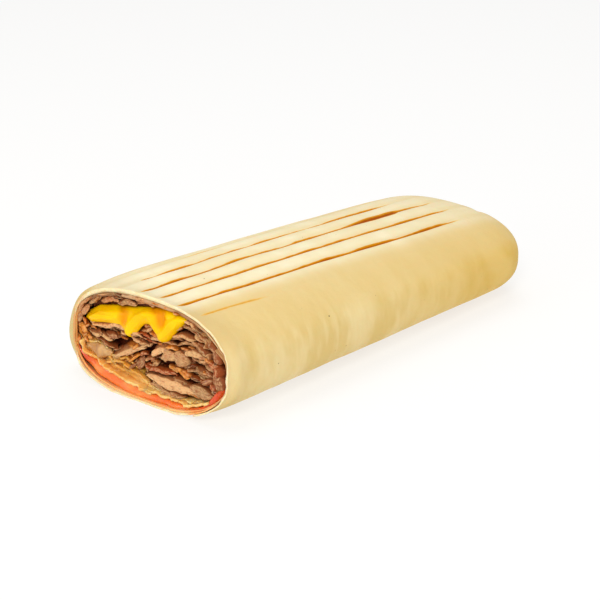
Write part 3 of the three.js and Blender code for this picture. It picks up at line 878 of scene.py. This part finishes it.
# %% Cabbage leaves
LEAVES = [  # the line each leaf follows on the cut, its thickness, waviness and start
    ([(27.6, 14.6), (26.6, 11.6), (24, 10.2), (20, 9.8), (13.4, 7.6), (5, 6.1), (-5, 5.1)],
     0.9, 0.7, -0.9),
    ([(-1, 5.5), (-9, 4.4), (-15, 4.4), (-20, 4.6), (-25, 5.8), (-29.6, 8.8)], 0.9, 0.7, -0.7),
    ([(16, 9.4), (11, 11.1), (7, 11.6), (3, 10.2), (0, 9.0), (-3, 7.0)], 0.7, 1.1, -0.6),
    ([(13, 9.0), (8, 8.6), (4, 9.4), (-1, 7.2)], 0.9, 1.2, 0.0),
    ([(17, 12.6), (12, 11.6), (7, 12.9), (2, 11.0)], 0.6, 1.1, 0.3),
    ([(19, 13.8), (15, 12.0), (12.4, 10.0)], 0.6, 0.9, 0.2),
    ([(9, 10.6), (4, 8.6), (1, 8.8)], 0.6, 0.9, 0.5),
    ([(27.4, 13.6), (24.5, 15.0), (21, 15.3), (16, 14.6)], 0.7, 0.5, 0.4),
    ([(-4, 6.1), (-10, 5.3), (-16, 5.3), (-22, 5.9)], 0.6, 0.5, 0.7),
]


def leaf(index, path, thickness, wave, start):
    """A ribbon that follows a path on the cut, with a ruffled front edge."""
    path = np.array(path, float)
    steps = np.concatenate([[0], np.cumsum(np.hypot(*np.diff(path, axis=0).T))])
    run = np.linspace(0, steps[-1], max(30, int(steps[-1] / 0.32)))
    rows = start + 12 * np.linspace(0, 1, 26) ** 1.3
    R, S = np.meshgrid(run, rows)
    y, z = np.interp(R, steps, path[:, 0]), np.interp(R, steps, path[:, 1])
    for c in (y, z) * 3:
        c[:, 1:-1] = (c[:, :-2] + c[:, 1:-1] + c[:, 2:]) / 3
    seed = 40 + 5 * index
    z = z + wave * noise(R / 5, S / 5, 0, seed) + 0.3 * wave * noise(R / 2.1, S / 3, 0, seed + 1)
    edge = 0.7 * noise(R / 2.4, 0, 0, seed + 2) + 0.35 * noise(R / 0.9, 0, 0, seed + 3)
    S = S + edge * np.linspace(1, 0, len(rows))[:, None]
    piece = grid("leaf", len(run), len(rows))
    beyond = np.minimum(S + 1.4, 0)[..., None] * [1, 0, 0]
    shape(piece, from_cut(np.maximum(S, -1.4), y, z) + beyond)
    paint(piece, "deep", np.maximum(S, 0))
    modifier(piece, "SOLIDIFY", thickness=thickness * MM, offset=0)
    close_up(piece)
    return piece


cabbage_core = layer("cabbage_core", CABBAGE_TOP, TOMATO_TOP, 1.3, FILLING_END, 90, 16, 1.6)
wavy_front(cabbage_core, 0.8, 2.6, 30, 4.0)
close_up(cabbage_core)
leaves = [leaf(i, *given) for i, given in enumerate(LEAVES)]
cabbage = join("cabbage_leaves", [cabbage_core] + leaves)
print("leaves:", len(leaves))

# %% [markdown]
# Cooked cabbage is pale yellow and lets some light through. Oil from the meat has turned it
# amber where the heap presses on it, and its thick rib is browner than the leaf.

# %% Cabbage finish
def cabbage_leaf():
    made, r, shader = material("cabbage_leaf", roughness=0.3, subsurface_weight=0.45,
                               subsurface_scale=0.003, ior=1.4, coat_weight=0.25,
                               coat_roughness=0.15, subsurface_radius=(1.0, 0.7, 0.3))
    spot = r.spot()
    clouds = r.noise(spot, 150.0, 2.0)
    fine = r.noise(r.stretch(spot, (0.5, 1, 1)), 900.0, 3.0, 0.6)
    colour = r.drift(clouds, 0.38, 0.62, (246, 196, 118), (232, 162, 74))
    colour = r.wash(colour, (252, 220, 150), fine, 0.5, 0.7, 0.5)
    rib = r.drift(clouds, 0.4, 0.6, (212, 166, 108), (182, 128, 70))
    colour = r.mix(r.value("rib"), colour, rib)
    middle = r.math("ABSOLUTE", r.math("SUBTRACT", r.axis(spot, "Y"), 0.005))
    oily = r.times(r.range(middle, 0.0045, 0.0105, 1.0, 0.0),
                   r.range(r.axis(spot, "Z"), 0.0065, 0.0085))
    colour = r.tint(colour, (206, 132, 22), r.times(oily, 0.8))
    # painted shade: darker and more amber the deeper the leaf lies behind the cut
    colour = r.wash(colour, (176, 92, 22), r.value("deep"), 1.6, 7.0, 0.8)
    connect(r, shader, base_color=colour, normal=r.bump(fine, 0.0002, 0.6))
    return made


cabbage_finish = cabbage_leaf()
print("made", cabbage_finish.name)

# %% [markdown]
# ## Cheese sauce
#
# The sauce was squeezed over the meat and ran down in two drips before it set. It is one smooth
# blob with rounded ridges where it flowed and soft valleys between them. We could sculpt them,
# but a few strokes, each with its own height and width, say the same and can be moved later.

# %% Strokes of the sauce
RIDGES = [  # from, to, how far it stands out, and how wide it is
    ((23.5, 25.0), (11.5, 28.4), 1.7, 2.5), ((20.0, 29.2), (11.5, 30.8), 1.2, 1.6),
    ((6.2, 22.8), (-0.2, 32.0), 2.0, 2.5), ((-8.2, 24.6), (-16.2, 33.8), 2.0, 2.3),
    ((-2.6, 31.4), (-7.0, 26.4), 1.1, 1.7), ((-10.6, 33.6), (-13.6, 34.6), 1.2, 1.4),
]
VALLEYS = [((9.6, 32.4), (9.0, 26.6), 1.0, 2.0), ((-7.2, 35.0), (-8.2, 30.2), 1.0, 2.1),
           ((20.4, 26.8), (13.5, 27.8), 0.45, 0.5), ((-1, 34), (-5, 33.4), 0.8, 1.2),
           ((13, 32), (22, 29.8), 0.6, 0.9)]


def near_line(y, z, a, b, width):
    """A soft ridge along the line from a to b."""
    a, b = np.array(a, float), np.array(b, float)
    way = b - a
    t = np.clip(((y - a[0]) * way[0] + (z - a[1]) * way[1]) / way.dot(way), 0, 1)
    away = np.hypot(y - a[0] - t * way[0], z - a[1] - t * way[1])
    return hump(away, width)


def strongest(y, z, strokes):
    """The height of the stroke that stands out most at each point."""
    return np.max([high * near_line(y, z, a, b, wide) for a, b, high, wide in strokes], axis=0)


print(len(RIDGES), "ridges and", len(VALLEYS), "valleys")

# %% [markdown]
# The front of the sauce is a fine grid between its upper and its lower edge, pushed out along
# the strokes and thickened with Solidify. Behind it a plain layer carries the sauce on through
# the wrap.

# %% Cheese sauce
def sauce():
    """The cut face is a fine grid between the upper and the lower edge of the sauce."""
    columns, across = 150, 46
    cap = np.sin(np.linspace(0, math.pi / 2, 9))
    y = -18.4 + (26.2 + 18.4) * (0.5 - 0.5 * np.cos(np.linspace(0, math.pi, columns)))
    top, under = curve(CHEESE_TOP, 0)(y), curve(CHEESE_UNDER, 0)(y)
    soften = np.array([1, 4, 6, 4, 1]) / 16
    for edge in (top, under) * 3:
        edge[2:-2] = np.convolve(edge, soften, "valid")
    for tip in (0, -1):
        top[tip] = under[tip] = (top[tip] + under[tip]) / 2
    turn = np.linspace(0, math.pi, across)
    Y, A = np.meshgrid(y, turn)
    half = (top - under) / 2
    Z = (top + under) / 2 + half * np.cos(A)
    relief, valley = strongest(Y, Z, RIDGES), strongest(Y, Z, VALLEYS)
    bulge = np.minimum(half, 2.6) * np.sin(A) ** 0.8
    S = 1.9 - bulge * 0.7 - relief * np.sin(A) ** 0.7 + 0.9 * valley
    S = S + 0.15 * noise(Y / 3, Z / 3, 0, 60) + 1.2 * smooth(A, 1.0, 0.1)
    S = np.maximum(S, -1.3)
    front = from_cut(np.maximum(S, 0), Y, Z) + np.minimum(S, 0)[..., None] * [1, 0, 0]
    face = grid("cheese_face", columns, across)
    shape(face, front)
    # painted shade: the valleys and the ground between the ridges are marked for an orange tint
    paint(face, "valley", np.clip(0.75 * valley + 0.55 * np.exp(-relief / 0.35), 0, 1))
    modifier(face, "SOLIDIFY", thickness=3.2 * MM, offset=1 if face_forward(face) else -1)
    close_up(face)
    return face


def face_forward(piece):
    """Whether Solidify with offset 1 would grow this open mesh away from the camera's side."""
    towards = sum(p.normal.x * p.area for p in piece.data.polygons)
    return towards > 0


cheese_face = sauce()
CHEESE_BACK = [(26.2, 24.0), (24, 23.6), (18, 24.9), (11.5, 25.6), (9.2, 26), (6.4, 26.6),
               (1.2, 27.4), (-5.4, 28), (-10, 28.8), (-14, 30.5), (-17, 32.6), (-18.4, 33.7)]
cheese_body = layer("cheese_body", CHEESE_TOP, CHEESE_BACK, 2.4, FILLING_END, 60, 14, 2.0,
                    (-18.2, 26))
paint(cheese_body, "valley", np.zeros(len(cheese_body.data.vertices)))
close_up(cheese_body)
cheese = join("cheese_sauce_blob", [cheese_face, cheese_body])
print("the sauce has", len(cheese.data.polygons), "faces")

# %% [markdown]
# Cheese sauce is strong yellow, and the orange in its valleys is painted shade. Light enters
# it a little way, and a thin coat gives it the wet shine.

# %% Cheese finish
def cheese_shine():
    made, r, shader = material("cheese_sauce", roughness=0.34, subsurface_weight=0.35,
                               subsurface_scale=0.003, ior=1.42, coat_weight=0.07,
                               coat_roughness=0.12, specular_ior_level=0.12,
                               subsurface_radius=(1.0, 0.75, 0.15))
    spot = r.spot()
    clouds = r.noise(spot, 90.0, 2.0)
    colour = r.drift(clouds, 0.35, 0.65, (250, 184, 0), (252, 197, 0))
    # painted shade: orange in the valleys
    colour = r.wash(colour, (230, 140, 0), r.value("valley"), 0.15, 1.0, 0.9)
    connect(r, shader, base_color=colour)
    return made


finish_piece(cheese, [cheese_shine()], "cheese_sauce", "cheese_sauce")

# %% [markdown]
# ## Roast meat
#
# The meat was shaved from a spit, so it is a heap of thin slices with browned edges and dark
# gaps between them. Each slice starts as the same block, a cube cut finely in edit mode, and
# each copy gets a mesh of its own. No slice may come through the bread, so a last step pushes
# stray points back inside.

# %% Blocks for the meat
def select_edges(bm, axis):
    for edge in bm.edges:
        way = edge.verts[1].co - edge.verts[0].co
        edge.select = abs(way[axis]) > 0.9 * way.length


def block(name, along_x, across, through):
    """A cube with its edges cut more often along X, where the slices are long."""
    deselect()
    bpy.ops.mesh.primitive_cube_add(size=2)
    piece = bpy.context.object
    piece.name = piece.data.name = name
    bpy.ops.object.mode_set(mode="EDIT")
    for axis, cuts in enumerate((along_x, through, across)):
        bm = bmesh.from_edit_mesh(piece.data)
        select_edges(bm, axis)
        bm.select_flush_mode()
        for face in bm.faces:
            face.select = False
        select_edges(bm, axis)
        bmesh.update_edit_mesh(piece.data)
        bpy.ops.mesh.subdivide(number_cuts=cuts - 1)
    bpy.ops.object.mode_set(mode="OBJECT")
    print(name, "has", len(piece.data.polygons), "faces")
    deselect()
    return piece


def copy_of(master, name):
    """A copy with a mesh of its own, so that it can be bent without changing the others."""
    piece = bpy.data.objects.new(name, master.data.copy())
    bpy.context.scene.collection.objects.link(piece)
    return piece


def cube_points(piece):
    co = np.empty(len(piece.data.vertices) * 3)
    piece.data.vertices.foreach_get("co", co)
    return co.reshape(-1, 3)


MEAT_GAP = 0.12


def keep_inside(piece):
    """Moves the points that the noise pushed into the bread back to its inner face."""
    p = points_of(piece)
    lean = cut_lean(p[:, 1], p[:, 2])
    s = np.clip((p[:, 0] + LENGTH / 2 - lean) / (1 - lean / LEAN_REACH), 0, 19.9)
    around = np.linspace(-math.pi, math.pi, 361)
    limits = []
    for row in range(21):
        ys, zs = wall(row)
        turned = np.arctan2(zs - centre_z(row), ys - centre_y(row))
        reach = np.hypot(zs - centre_z(row), ys - centre_y(row))
        order = np.argsort(turned)
        limits.append(np.interp(around, turned[order], reach[order], period=2 * math.pi))
    limits = np.array(limits)
    y, z = p[:, 1] - centre_y(s), p[:, 2] - centre_z(s)
    column = np.rint((np.arctan2(z, y) + math.pi) / (2 * math.pi) * 360).astype(int)
    row, part = np.floor(s).astype(int), s - np.floor(s)
    limit = (1 - part) * limits[row, column] + part * limits[row + 1, column] - MEAT_GAP
    over_rim = 1.3 * (1 - smooth(-p[:, 1], 12, 22))
    limit = limit + over_rim * (1 - smooth(s, 0.3, 2.6))
    scale = np.minimum(1, limit / np.maximum(np.hypot(y, z), 0.01))
    p[:, 1] = centre_y(s) + y * scale
    p[:, 2] = centre_z(s) + z * scale
    shape(piece, p)
    return piece


print("meat keeps", MEAT_GAP, "mm from the bread")

# %% [markdown]
# A slice is the block bent along the cut. Noise tears its front edge, its ends taper to a point
# or a blunt tip, and each one gets a tone of roast meat, from pale beige to dark crust.

# %% Bend a slice
TONES = {
    "beige": (214, 164, 112), "pale": (198, 148, 98), "greytan": (170, 122, 78),
    "grey": (146, 98, 58), "pink": (186, 126, 80), "gold": (218, 134, 40),
    "amber": (194, 108, 30), "red": (160, 66, 26), "mauve": (146, 88, 54),
    "dark": (88, 34, 10),
}


def meat_piece(master, index, y, z, length, thick, tilt, bow, front, tone, deep=11.0):
    """Bends one block into a ragged slice that lies across the cut."""
    piece = copy_of(master, "slice")
    q = cube_points(piece)
    seed = 100 + 11 * index
    run, side, back = q[:, 0] * length / 2, q[:, 2], (q[:, 1] + 1) / 2
    at_front = 1 - smooth(back, 0, 0.5)
    ragged = 0.8 * noise(run / 3.1, 0, 0, seed) + 0.5 * noise(run / 1.2, side * 0.4, 0, seed + 1)
    ragged = ragged + 0.35 * np.abs(noise(run / 0.7, side * 1.6, 0, seed + 2))
    ragged = ragged * 1.8 / (1 + 0.25 * thick * thick)
    corner = 0.2 * thick * np.abs(side) ** 3 + 1.2 * np.abs(q[:, 0]) ** 5
    s = front + deep * back ** 1.5 + at_front * (ragged + corner)
    point = 1.5 + 1.3 * (index * 0.618 % 1)
    taper = np.clip(1 - np.abs(q[:, 0]) ** point, 0, 1) ** 0.7
    blade = min(1, 0.28 + 0.16 * max(thick, 1.2) ** 1.4)
    taper = taper * (blade + (1 - blade) * smooth(back, 0, 0.3))
    uneven = 1 + 0.25 * noise(run / 4.5, s / 4, 0, seed + 3)
    up = side * thick * 0.6 * (0.08 + 0.92 * taper) * np.clip(uneven, 0.4, 1.5)
    up = up + bow * (1 - q[:, 0] ** 2) + 0.8 * noise(run / 4.6, s / 6, 0, seed + 5)
    up = up + 0.12 * noise(run / 1.3, s / 1.2, side * 2.2, seed + 6)
    turn = math.radians(tilt)
    yy = y - run * math.cos(turn) - up * math.sin(turn)
    zz = z - run * math.sin(turn) + up * math.cos(turn)
    beyond = np.maximum(np.minimum(s, 0), -1.9)
    shape(piece, from_cut(np.maximum(s, 0), yy, zz) + beyond[:, None] * [1, 0, 0])
    keep_inside(piece)
    paint(piece, "deep", np.maximum(s - max(front, 0) * 0.7, 0))
    paint(piece, "run", run + 9 * index)
    paint(piece, "rise", up)
    # browned crust and painted shade: the top and bottom faces of each slice, along the gaps
    paint(piece, "crust_and_gap_shade", np.abs(side) ** 4 * smooth(back, 0.01, 0.15))
    # painted highlight: the front edge of each slice
    paint(piece, "edge", 1 - smooth(back, 0, 0.05))
    colour = np.array(srgb(*TONES[tone]))
    light = 1 + 0.1 * math.sin(index * 2.4)
    colours = np.tile(colour * [light, light, light, 1], (len(q), 1)).astype(np.float32)
    layer_now = piece.data.attributes.new("tone", "FLOAT_COLOR", "POINT")
    layer_now.data.foreach_set("color", colours.ravel())
    return piece


print("tones of meat:", ", ".join(TONES))

# %% [markdown]
# The large slices are laid one by one where the photo shows them, because their order and their
# slant make the heap look shaved and not poured. Small bits show between them, and loose flakes
# at random places fill the gaps behind.

# %% Lay out the slices
SLICES = [  # y and z of the middle, length, thickness, tilt, bow, how far back, and tone
    (24.8, 31.2, 9.5, 2.4, -42, 0.7, -0.5, "pink"), (17.8, 35.0, 10, 1.9, -17, 0.4, -0.3, "beige"),
    (9.4, 36.4, 7, 1.7, -4, 0.2, 0.1, "mauve"), (2.6, 36.5, 8, 1.9, -1, 0.2, -0.3, "pink"),
    (-4.6, 36.7, 7, 1.2, 3, 0.1, 0.2, "amber"), (28.4, 27.0, 7, 2.2, -62, 0.4, -0.2, "pink"),
    (30.2, 22.8, 5, 1.8, -74, 0.3, 0.3, "amber"), (13.6, 34.6, 10, 1.2, -12, 0.2, 0.5, "pink"),
    (-21, 32.4, 8, 1.3, 22, 0.9, -0.1, "beige"), (-19.2, 30.3, 8, 1.2, 16, 0.9, 0.9, "grey"),
    (-25.4, 28.4, 7, 1.2, 40, 0.7, 0.2, "pale"), (-17, 27.4, 10.5, 1.5, -9, 0.6, -0.1, "pale"),
    (-8, 23.3, 12, 1.6, -4, 0.4, 0.6, "beige"), (-2.2, 26.6, 6.6, 2.6, -4, 0.7, 1.6, "amber"),
    (12.3, 22.1, 24.5, 1.7, -3, 1.3, -0.3, "beige"), (3.4, 21.1, 14, 1.2, 6, 0.3, 0.3, "beige"),
    (-2.4, 22.0, 9, 1.1, 5, -0.3, 0.9, "red"), (18.4, 18.3, 12, 1.5, 4, 0.4, 0.2, "beige"),
    (17.4, 15.9, 13, 1.1, 2, 0.3, 0.4, "mauve"), (27.3, 18.2, 4.6, 2.6, 62, 0.2, 0.3, "gold"),
    (3.6, 18.2, 11, 1.4, -25, 0.5, 0.6, "gold"), (6, 15.4, 17, 1.9, -27, 0.7, -0.3, "beige"),
    (5.4, 13.4, 11, 1.2, -33, 0.4, 0.2, "gold"), (1.2, 13.2, 7, 2.6, -50, 0.3, 0.6, "mauve"),
    (-8.0, 20.0, 7.4, 2.4, -34, 0.8, -0.9, "beige"),
    (-11.6, 18.6, 7.6, 2.8, -8, 0.7, -0.5, "pale"), (-10.6, 21.4, 6, 1.4, -30, 0.6, -0.2, "pink"),
    (-16.6, 19.6, 7, 3.6, 14, 0.9, -0.2, "greytan"),
    (-22.6, 22.0, 8.4, 2.2, -8, 1.0, -0.3, "beige"), (-27.4, 22.6, 5, 1.2, -62, 0.7, -0.1, "pale"),
    (-29.4, 20.6, 5.4, 2.4, 12, 0.3, 0.9, "red"), (-31.2, 15.8, 8, 3.2, 78, 0.4, 0.4, "mauve"),
    (-15.2, 14.4, 9.4, 1.8, 3, 0.3, 0.7, "gold"), (-24.6, 17.2, 6.4, 1.8, 22, 0.5, 0.5, "grey"),
    (-7.6, 12.9, 14, 1.9, 3, 0.4, 0.3, "red"), (-12.6, 9.3, 21.5, 2.9, 2, 0.5, -1.1, "beige"),
    (-25.6, 10.6, 9.4, 3.4, 10, 0.6, -0.6, "greytan"),
    (-10.4, 6.5, 14.5, 1.8, 3, 0.3, -0.1, "greytan"), (-18.8, 24.6, 9, 1.3, -6, 0.7, 0.4, "greytan"),
    (22, 29.8, 8, 1.9, -32, 0.5, 0.2, "pale"), (15.2, 31.6, 9, 2.1, -14, 0.3, 0.3, "pink"),
    (7.2, 32.7, 9, 2.0, -7, 0.2, 0.2, "greytan"), (-0.8, 34.5, 8, 1.5, -6, 0.1, 0.2, "pink"),
    (27.0, 25.4, 6, 2.2, -54, 0.4, 0.0, "pink"), (28.7, 22.6, 5.4, 2.0, -72, 0.3, 0.1, "greytan"),
    (20.4, 32.2, 5, 1.4, -24, 0.3, 0.4, "amber"), (11.4, 34.4, 6, 1.2, -10, 0.2, 0.6, "dark"),
    (15.8, 20.4, 9, 1.5, -6, 0.4, 1.3, "greytan"), (13.2, 19.3, 7, 1.8, -8, 0.3, 0.4, "mauve"),
]
# painted shade: some dark bits sit in gaps between the slices and stand in for their shadow; the
# others are dark roast
BITS = [  # small golden and dark pieces that show between the slices
    (29.4, 20.0, 3.4, 1.8, 60, "gold"), (28.8, 16.8, 3.2, 2.0, 76, "gold"),
    (26.8, 14.8, 3.6, 1.5, 24, "gold"), (30.0, 14.2, 3.0, 1.6, 84, "amber"),
    (25.8, 19.8, 3.0, 1.4, -34, "amber"), (24.8, 17.0, 3.2, 1.2, 8, "gold"),
    (27.4, 21.4, 2.8, 1.3, 30, "amber"), (27.0, 17.0, 2.6, 1.4, -20, "gold"),
    (25.6, 15.6, 3.4, 1.2, -8, "amber"), (29.6, 12.2, 2.4, 1.2, 80, "gold"),
    (11.8, 36.0, 4.0, 1.1, -6, "dark"), (6.0, 36.4, 3.0, 1.0, 0, "dark"),
    (17.2, 32.6, 3.4, 1.0, -22, "dark"), (20.4, 33.6, 3.6, 1.0, -28, "mauve"),
    (22.0, 31.2, 5.0, 1.1, -36, "greytan"), (0.4, 34.6, 4.0, 0.9, 2, "mauve"),
    (-10.6, 35.9, 4.4, 0.8, 4, "gold"), (-14.6, 35.3, 3.4, 0.8, 8, "amber"),
    (-12.4, 22.4, 5.6, 1.0, -8, "gold"), (-17.6, 22.9, 4.4, 1.1, 2, "amber"),
    (-13.2, 15.5, 4.6, 1.5, 8, "gold"), (-18.6, 15.2, 4.2, 1.5, 14, "amber"),
    (-20.8, 18.0, 3.4, 1.2, -20, "dark"), (-26.6, 19.0, 4.2, 1.6, 20, "greytan"),
    (-30.4, 23.8, 4.6, 1.4, 70, "mauve"), (-32.0, 19.4, 3.8, 1.4, 82, "red"),
    (-29.4, 12.8, 3.4, 1.6, 40, "red"), (-31.4, 11.8, 2.8, 1.2, 60, "dark"),
    (-22.4, 26.2, 6.0, 1.1, 20, "pink"), (-25.6, 25.2, 5.0, 1.1, 34, "grey"),
    (-28.8, 26.6, 5.6, 1.0, 58, "mauve"), (-22.4, 29.4, 5.4, 0.9, 32, "mauve"),
    (-14.9, 30.4, 4.0, 1.2, -14, "grey"), (-0.4, 16.6, 4.6, 1.3, -24, "red"),
    (-3.6, 16.4, 4.4, 1.2, -8, "mauve"), (-1.2, 11.6, 3.6, 1.5, 50, "mauve"),
    (-2.6, 13.2, 3.0, 1.1, -20, "red"), (9.0, 15.6, 3.6, 1.3, -34, "mauve"),
    (-0.6, 19.4, 6.0, 1.0, -20, "beige"),
    (-4.8, 25.0, 5.0, 1.1, 6, "amber"), (-0.8, 23.6, 5.4, 0.9, 8, "red"),
    (-13.6, 25.2, 6.0, 1.1, -16, "pink"), (-8.4, 22.0, 5.2, 1.0, -10, "amber"),
    (-15.6, 7.0, 5.8, 1.1, 6, "greytan"), (-22.0, 7.9, 6.0, 1.3, 14, "amber"),
    (-3.0, 9.6, 4.4, 0.9, 4, "dark"), (-7.4, 16.8, 4.2, 1.0, 0, "dark"),
    (-27.4, 15.2, 3.8, 1.6, -30, "mauve"), (-22.6, 14.5, 4.2, 1.3, 10, "dark"),
    (-28.4, 10.4, 4.2, 1.2, 36, "amber"), (-19.4, 10.4, 4.2, 1.2, 8, "pink"),
    (4.0, 11.6, 3.4, 1.3, -36, "mauve"), (11.0, 24.2, 5.4, 0.9, -4, "mauve"),
    (21.4, 22.9, 6.6, 1.1, -14, "beige"), (3.8, 23.4, 5.4, 1.0, 4, "grey"),
]
MAIN_SLICES = len(SLICES) - 8  # so that both meat pieces stay under 200,000 triangles
big, small = block("block", 58, 7, 11), block("small_block", 20, 5, 7)
parts = [meat_piece(big, i, *given) for i, given in enumerate(SLICES)]
for i, (y, z, length, thick, tilt, tone) in enumerate(BITS):
    front = 0.45 + 0.6 * math.sin(i * 1.7)
    parts.append(meat_piece(small, 50 + i, y, z, length, thick, tilt, 0.2, front, tone, 7.0))
rng = np.random.default_rng(5)
flakes = 0
while flakes < 90:
    y, z, pick = rng.uniform(-31, 27), rng.uniform(8, 34), rng.random()
    low, high = curve(CABBAGE_TOP, 0)(y) + 0.8, min(curve(CHEESE_UNDER, 0)(y), 34) - 0.8
    if not -18 < y < 26:
        high = wall_heights(2.0, y)[1] - 1.5
    if not low < z < high:
        continue
    tilt = -4 if y > 8 else -22 if y > -6 and z > 12 else 6
    tilt = tilt + 60 * smooth(-y, 22, 31) * (1 if z > 14 else -0.5) + rng.normal(0, 12)
    tone = ("pale", "mauve", "pink", "amber", "grey", "red", "greytan", "dark")[int(pick * 8)]
    given = (y, z, rng.uniform(2.6, 6.5), rng.uniform(0.8, 1.5), tilt, 0.3)
    parts.append(meat_piece(small, 120 + flakes, *given, rng.uniform(0.8, 2.6), tone, 6.0))
    flakes = flakes + 1
# the thick rib of the cabbage is bent from the same block as the slices
rib = meat_piece(big, 97, 19.6, 12.9, 12.5, 3.6, -5, 0.5, -0.5, "beige")
paint(rib, "rib", np.ones(len(rib.data.vertices)))
close_up(rib)
print(len(parts), "slices and bits")

# %% [markdown]
# The middle of the heap, built as two layers, fills the roll behind the slices. It is split
# where the cheese runs through it.

# %% Meat core and roast colours
UNDER_CHEESE = [(38, 60), (26.5, 60), *CHEESE_BACK, (-18.7, 60), (-38, 60)]
lower_core = layer("meat_core", UNDER_CHEESE, CABBAGE_TOP, 4.6, FILLING_END, 60, 14, 1.0)
upper_core = layer("meat_core_top", None, CHEESE_TOP, 2.6, FILLING_END, 50, 14, 0.8, (-18.4, 26))
for number, core in enumerate((lower_core, upper_core)):
    wavy_front(core, 1.1, 1.9, 80 + number)
    close_up(core)
    count = len(core.data.vertices)
    paint(core, "run", points_of(core)[:, 1])
    paint(core, "rise", points_of(core)[:, 2])
    paint(core, "crust_and_gap_shade", np.zeros(count))
    paint(core, "edge", np.zeros(count))
    tone = core.data.attributes.new("tone", "FLOAT_COLOR", "POINT")
    # painted shade: the core shows only in the gaps between the slices, so it is dark brown
    shaded_core_tone = np.tile(np.array(srgb(96, 48, 26)), (count, 1)).astype(np.float32)
    tone.data.foreach_set("color", shaded_core_tone.ravel())
for master in (big, small):
    bpy.data.objects.remove(master)
meat = join("meat_slices", [lower_core, upper_core] + parts[:MAIN_SLICES])
bits = join("meat_bits", parts[MAIN_SLICES:])


def roast_meat():
    made, r, shader = material("roast_meat", subsurface_weight=0.2, subsurface_scale=0.0015,
                               subsurface_radius=(1.0, 0.4, 0.25), ior=1.4,
                               coat_roughness=0.14, specular_ior_level=0.2)
    spot = r.spot()
    grain = {"X": r.value("run"), "Y": r.value("rise"), "Z": r.value("deep")}
    grain = r.add("ShaderNodeCombineXYZ", grain).outputs[0]
    fibres = r.noise(r.stretch(grain, (0.8, 2.4, 1.1)), 1.0, 4.0, 0.62, 0.4)
    lumps = r.noise(grain, 0.55, 2.0)
    fine = r.noise(spot, 1100.0, 2.0)
    tone = r.add("ShaderNodeAttribute", attribute_name="tone").outputs["Color"]
    colour = r.wash(tone, (228, 180, 124), fibres, 0.5, 0.75, 0.4)
    colour = r.wash(colour, (160, 80, 30), lumps, 0.52, 0.66, 0.6)
    colour = r.wash(colour, (112, 52, 18), fibres, 0.46, 0.30, 0.6)
    # browned crust and painted shade along the gaps between the slices
    crust_and_gap_shade = r.times(r.range(r.value("crust_and_gap_shade"), 0.2, 0.9), 0.7)
    colour = r.tint(colour, (140, 68, 24), crust_and_gap_shade)
    # painted highlight along the front edges of the slices
    edge = r.times(r.value("edge"), r.range(fibres, 0.42, 0.62, 0.0, 0.42))
    colour = r.tint(colour, (230, 186, 132), edge)
    # painted shade: darker the deeper a face lies behind the front of its slice
    colour = r.wash(colour, (70, 22, 6), r.value("deep"), 0.9, 3.4, 0.97)
    connect(r, shader, base_color=colour)
    rough = r.bump(fibres, 0.0004, 0.5, r.bump(fine, 0.0002, 0.5))
    connect(r, shader, normal=rough, roughness=r.range(lumps, 0.3, 0.7, 0.3, 0.55))
    wet = r.range(r.value("deep"), 0.8, 3.2, 1.0, 0.0)
    glint = r.times(wet, r.range(lumps, 0.5, 0.66, 0.03, 0.4))
    connect(r, shader, coat_weight=glint)
    return made


roast = roast_meat()
finish_piece(meat, [roast], "meat", "meat")
finish_piece(bits, [roast], "meat", "meat")
cabbage = join("cabbage_leaves", [cabbage, rib])
finish_piece(cabbage, [cabbage_finish], "cabbage", "cabbage")

# %% [markdown]
# ## Floor and light
#
# Food for a menu is photographed on a white sweep under one large soft light, so that it has
# almost no shadow and its colours stay clear. The floor shines a little by itself, as an
# overexposed sweep does, and a small light in front opens up the cut.

# %% Floor and light
deselect()
bpy.ops.mesh.primitive_plane_add(size=6, location=(0, 0, 0))
floor = bpy.context.object
floor.name = "floor"
paper = material("white_paper", roughness=0.9, specular_ior_level=0.0,
                 base_color=(0.285, 0.283, 0.28, 1),
                 emission_color=(0.99, 0.988, 0.985, 1), emission_strength=0.71)[0]
floor.data.materials.append(paper)

world = bpy.data.worlds.new("studio")
bpy.context.scene.world = world
world.use_nodes = True
sky = world.node_tree.nodes["Background"]
sky.inputs["Color"].default_value = (1.0, 0.995, 0.985, 1)
sky.inputs["Strength"].default_value = 0.62


def soft_light(name, spot, size, power, colour):
    """A round soft light that looks at the middle of the wrap."""
    deselect()
    bpy.ops.object.light_add(type="AREA", location=spot)
    light = bpy.context.object
    light.name = name
    light.data.shape = "DISK"
    light.data.size = size
    light.data.energy = power
    light.data.color = colour
    aim = light.location.copy()
    light.rotation_euler = aim.to_track_quat("Z", "Y").to_euler()
    return light


soft_light("overhead", (0.1, 0.1, 0.95), 0.6, 2.2, (1.0, 0.99, 0.97))
soft_light("front", (-0.75, -0.55, 0.7), 0.32, 5.5, (1.0, 0.985, 0.96))
soft_light("cut", (-0.9, 0.12, 0.3), 0.3, 1.15, (1.0, 0.98, 0.95))
print("floor and lights ready")

# %% [markdown]
# ## Camera
#
# The camera stands off the cut corner, about 22 degrees above the table, and looks along the
# wrap. Its place comes from the photo's perspective, so that the cut and the long side both show.

# %% Camera
azimuth, rise, distance = math.radians(-45.404), math.radians(22.306), 0.59948
target = np.array([-0.002464, 0.005767, 0.010991])
towards = np.array([math.sin(azimuth) * math.cos(rise),
                    -math.cos(azimuth) * math.cos(rise), math.sin(rise)])
bpy.ops.object.camera_add(location=target + distance * towards)
camera = bpy.context.object
camera.rotation_euler = (math.radians(90) - rise, 0, azimuth)
camera.data.lens = 97.36
camera.data.sensor_width = 36
camera.data.sensor_fit = "HORIZONTAL"
camera.data.clip_start = 0.01
camera.data.clip_end = 20
bpy.context.scene.camera = camera
bpy.context.scene.view_settings.view_transform = "Standard"
print("camera at", [round(c, 3) for c in camera.location])
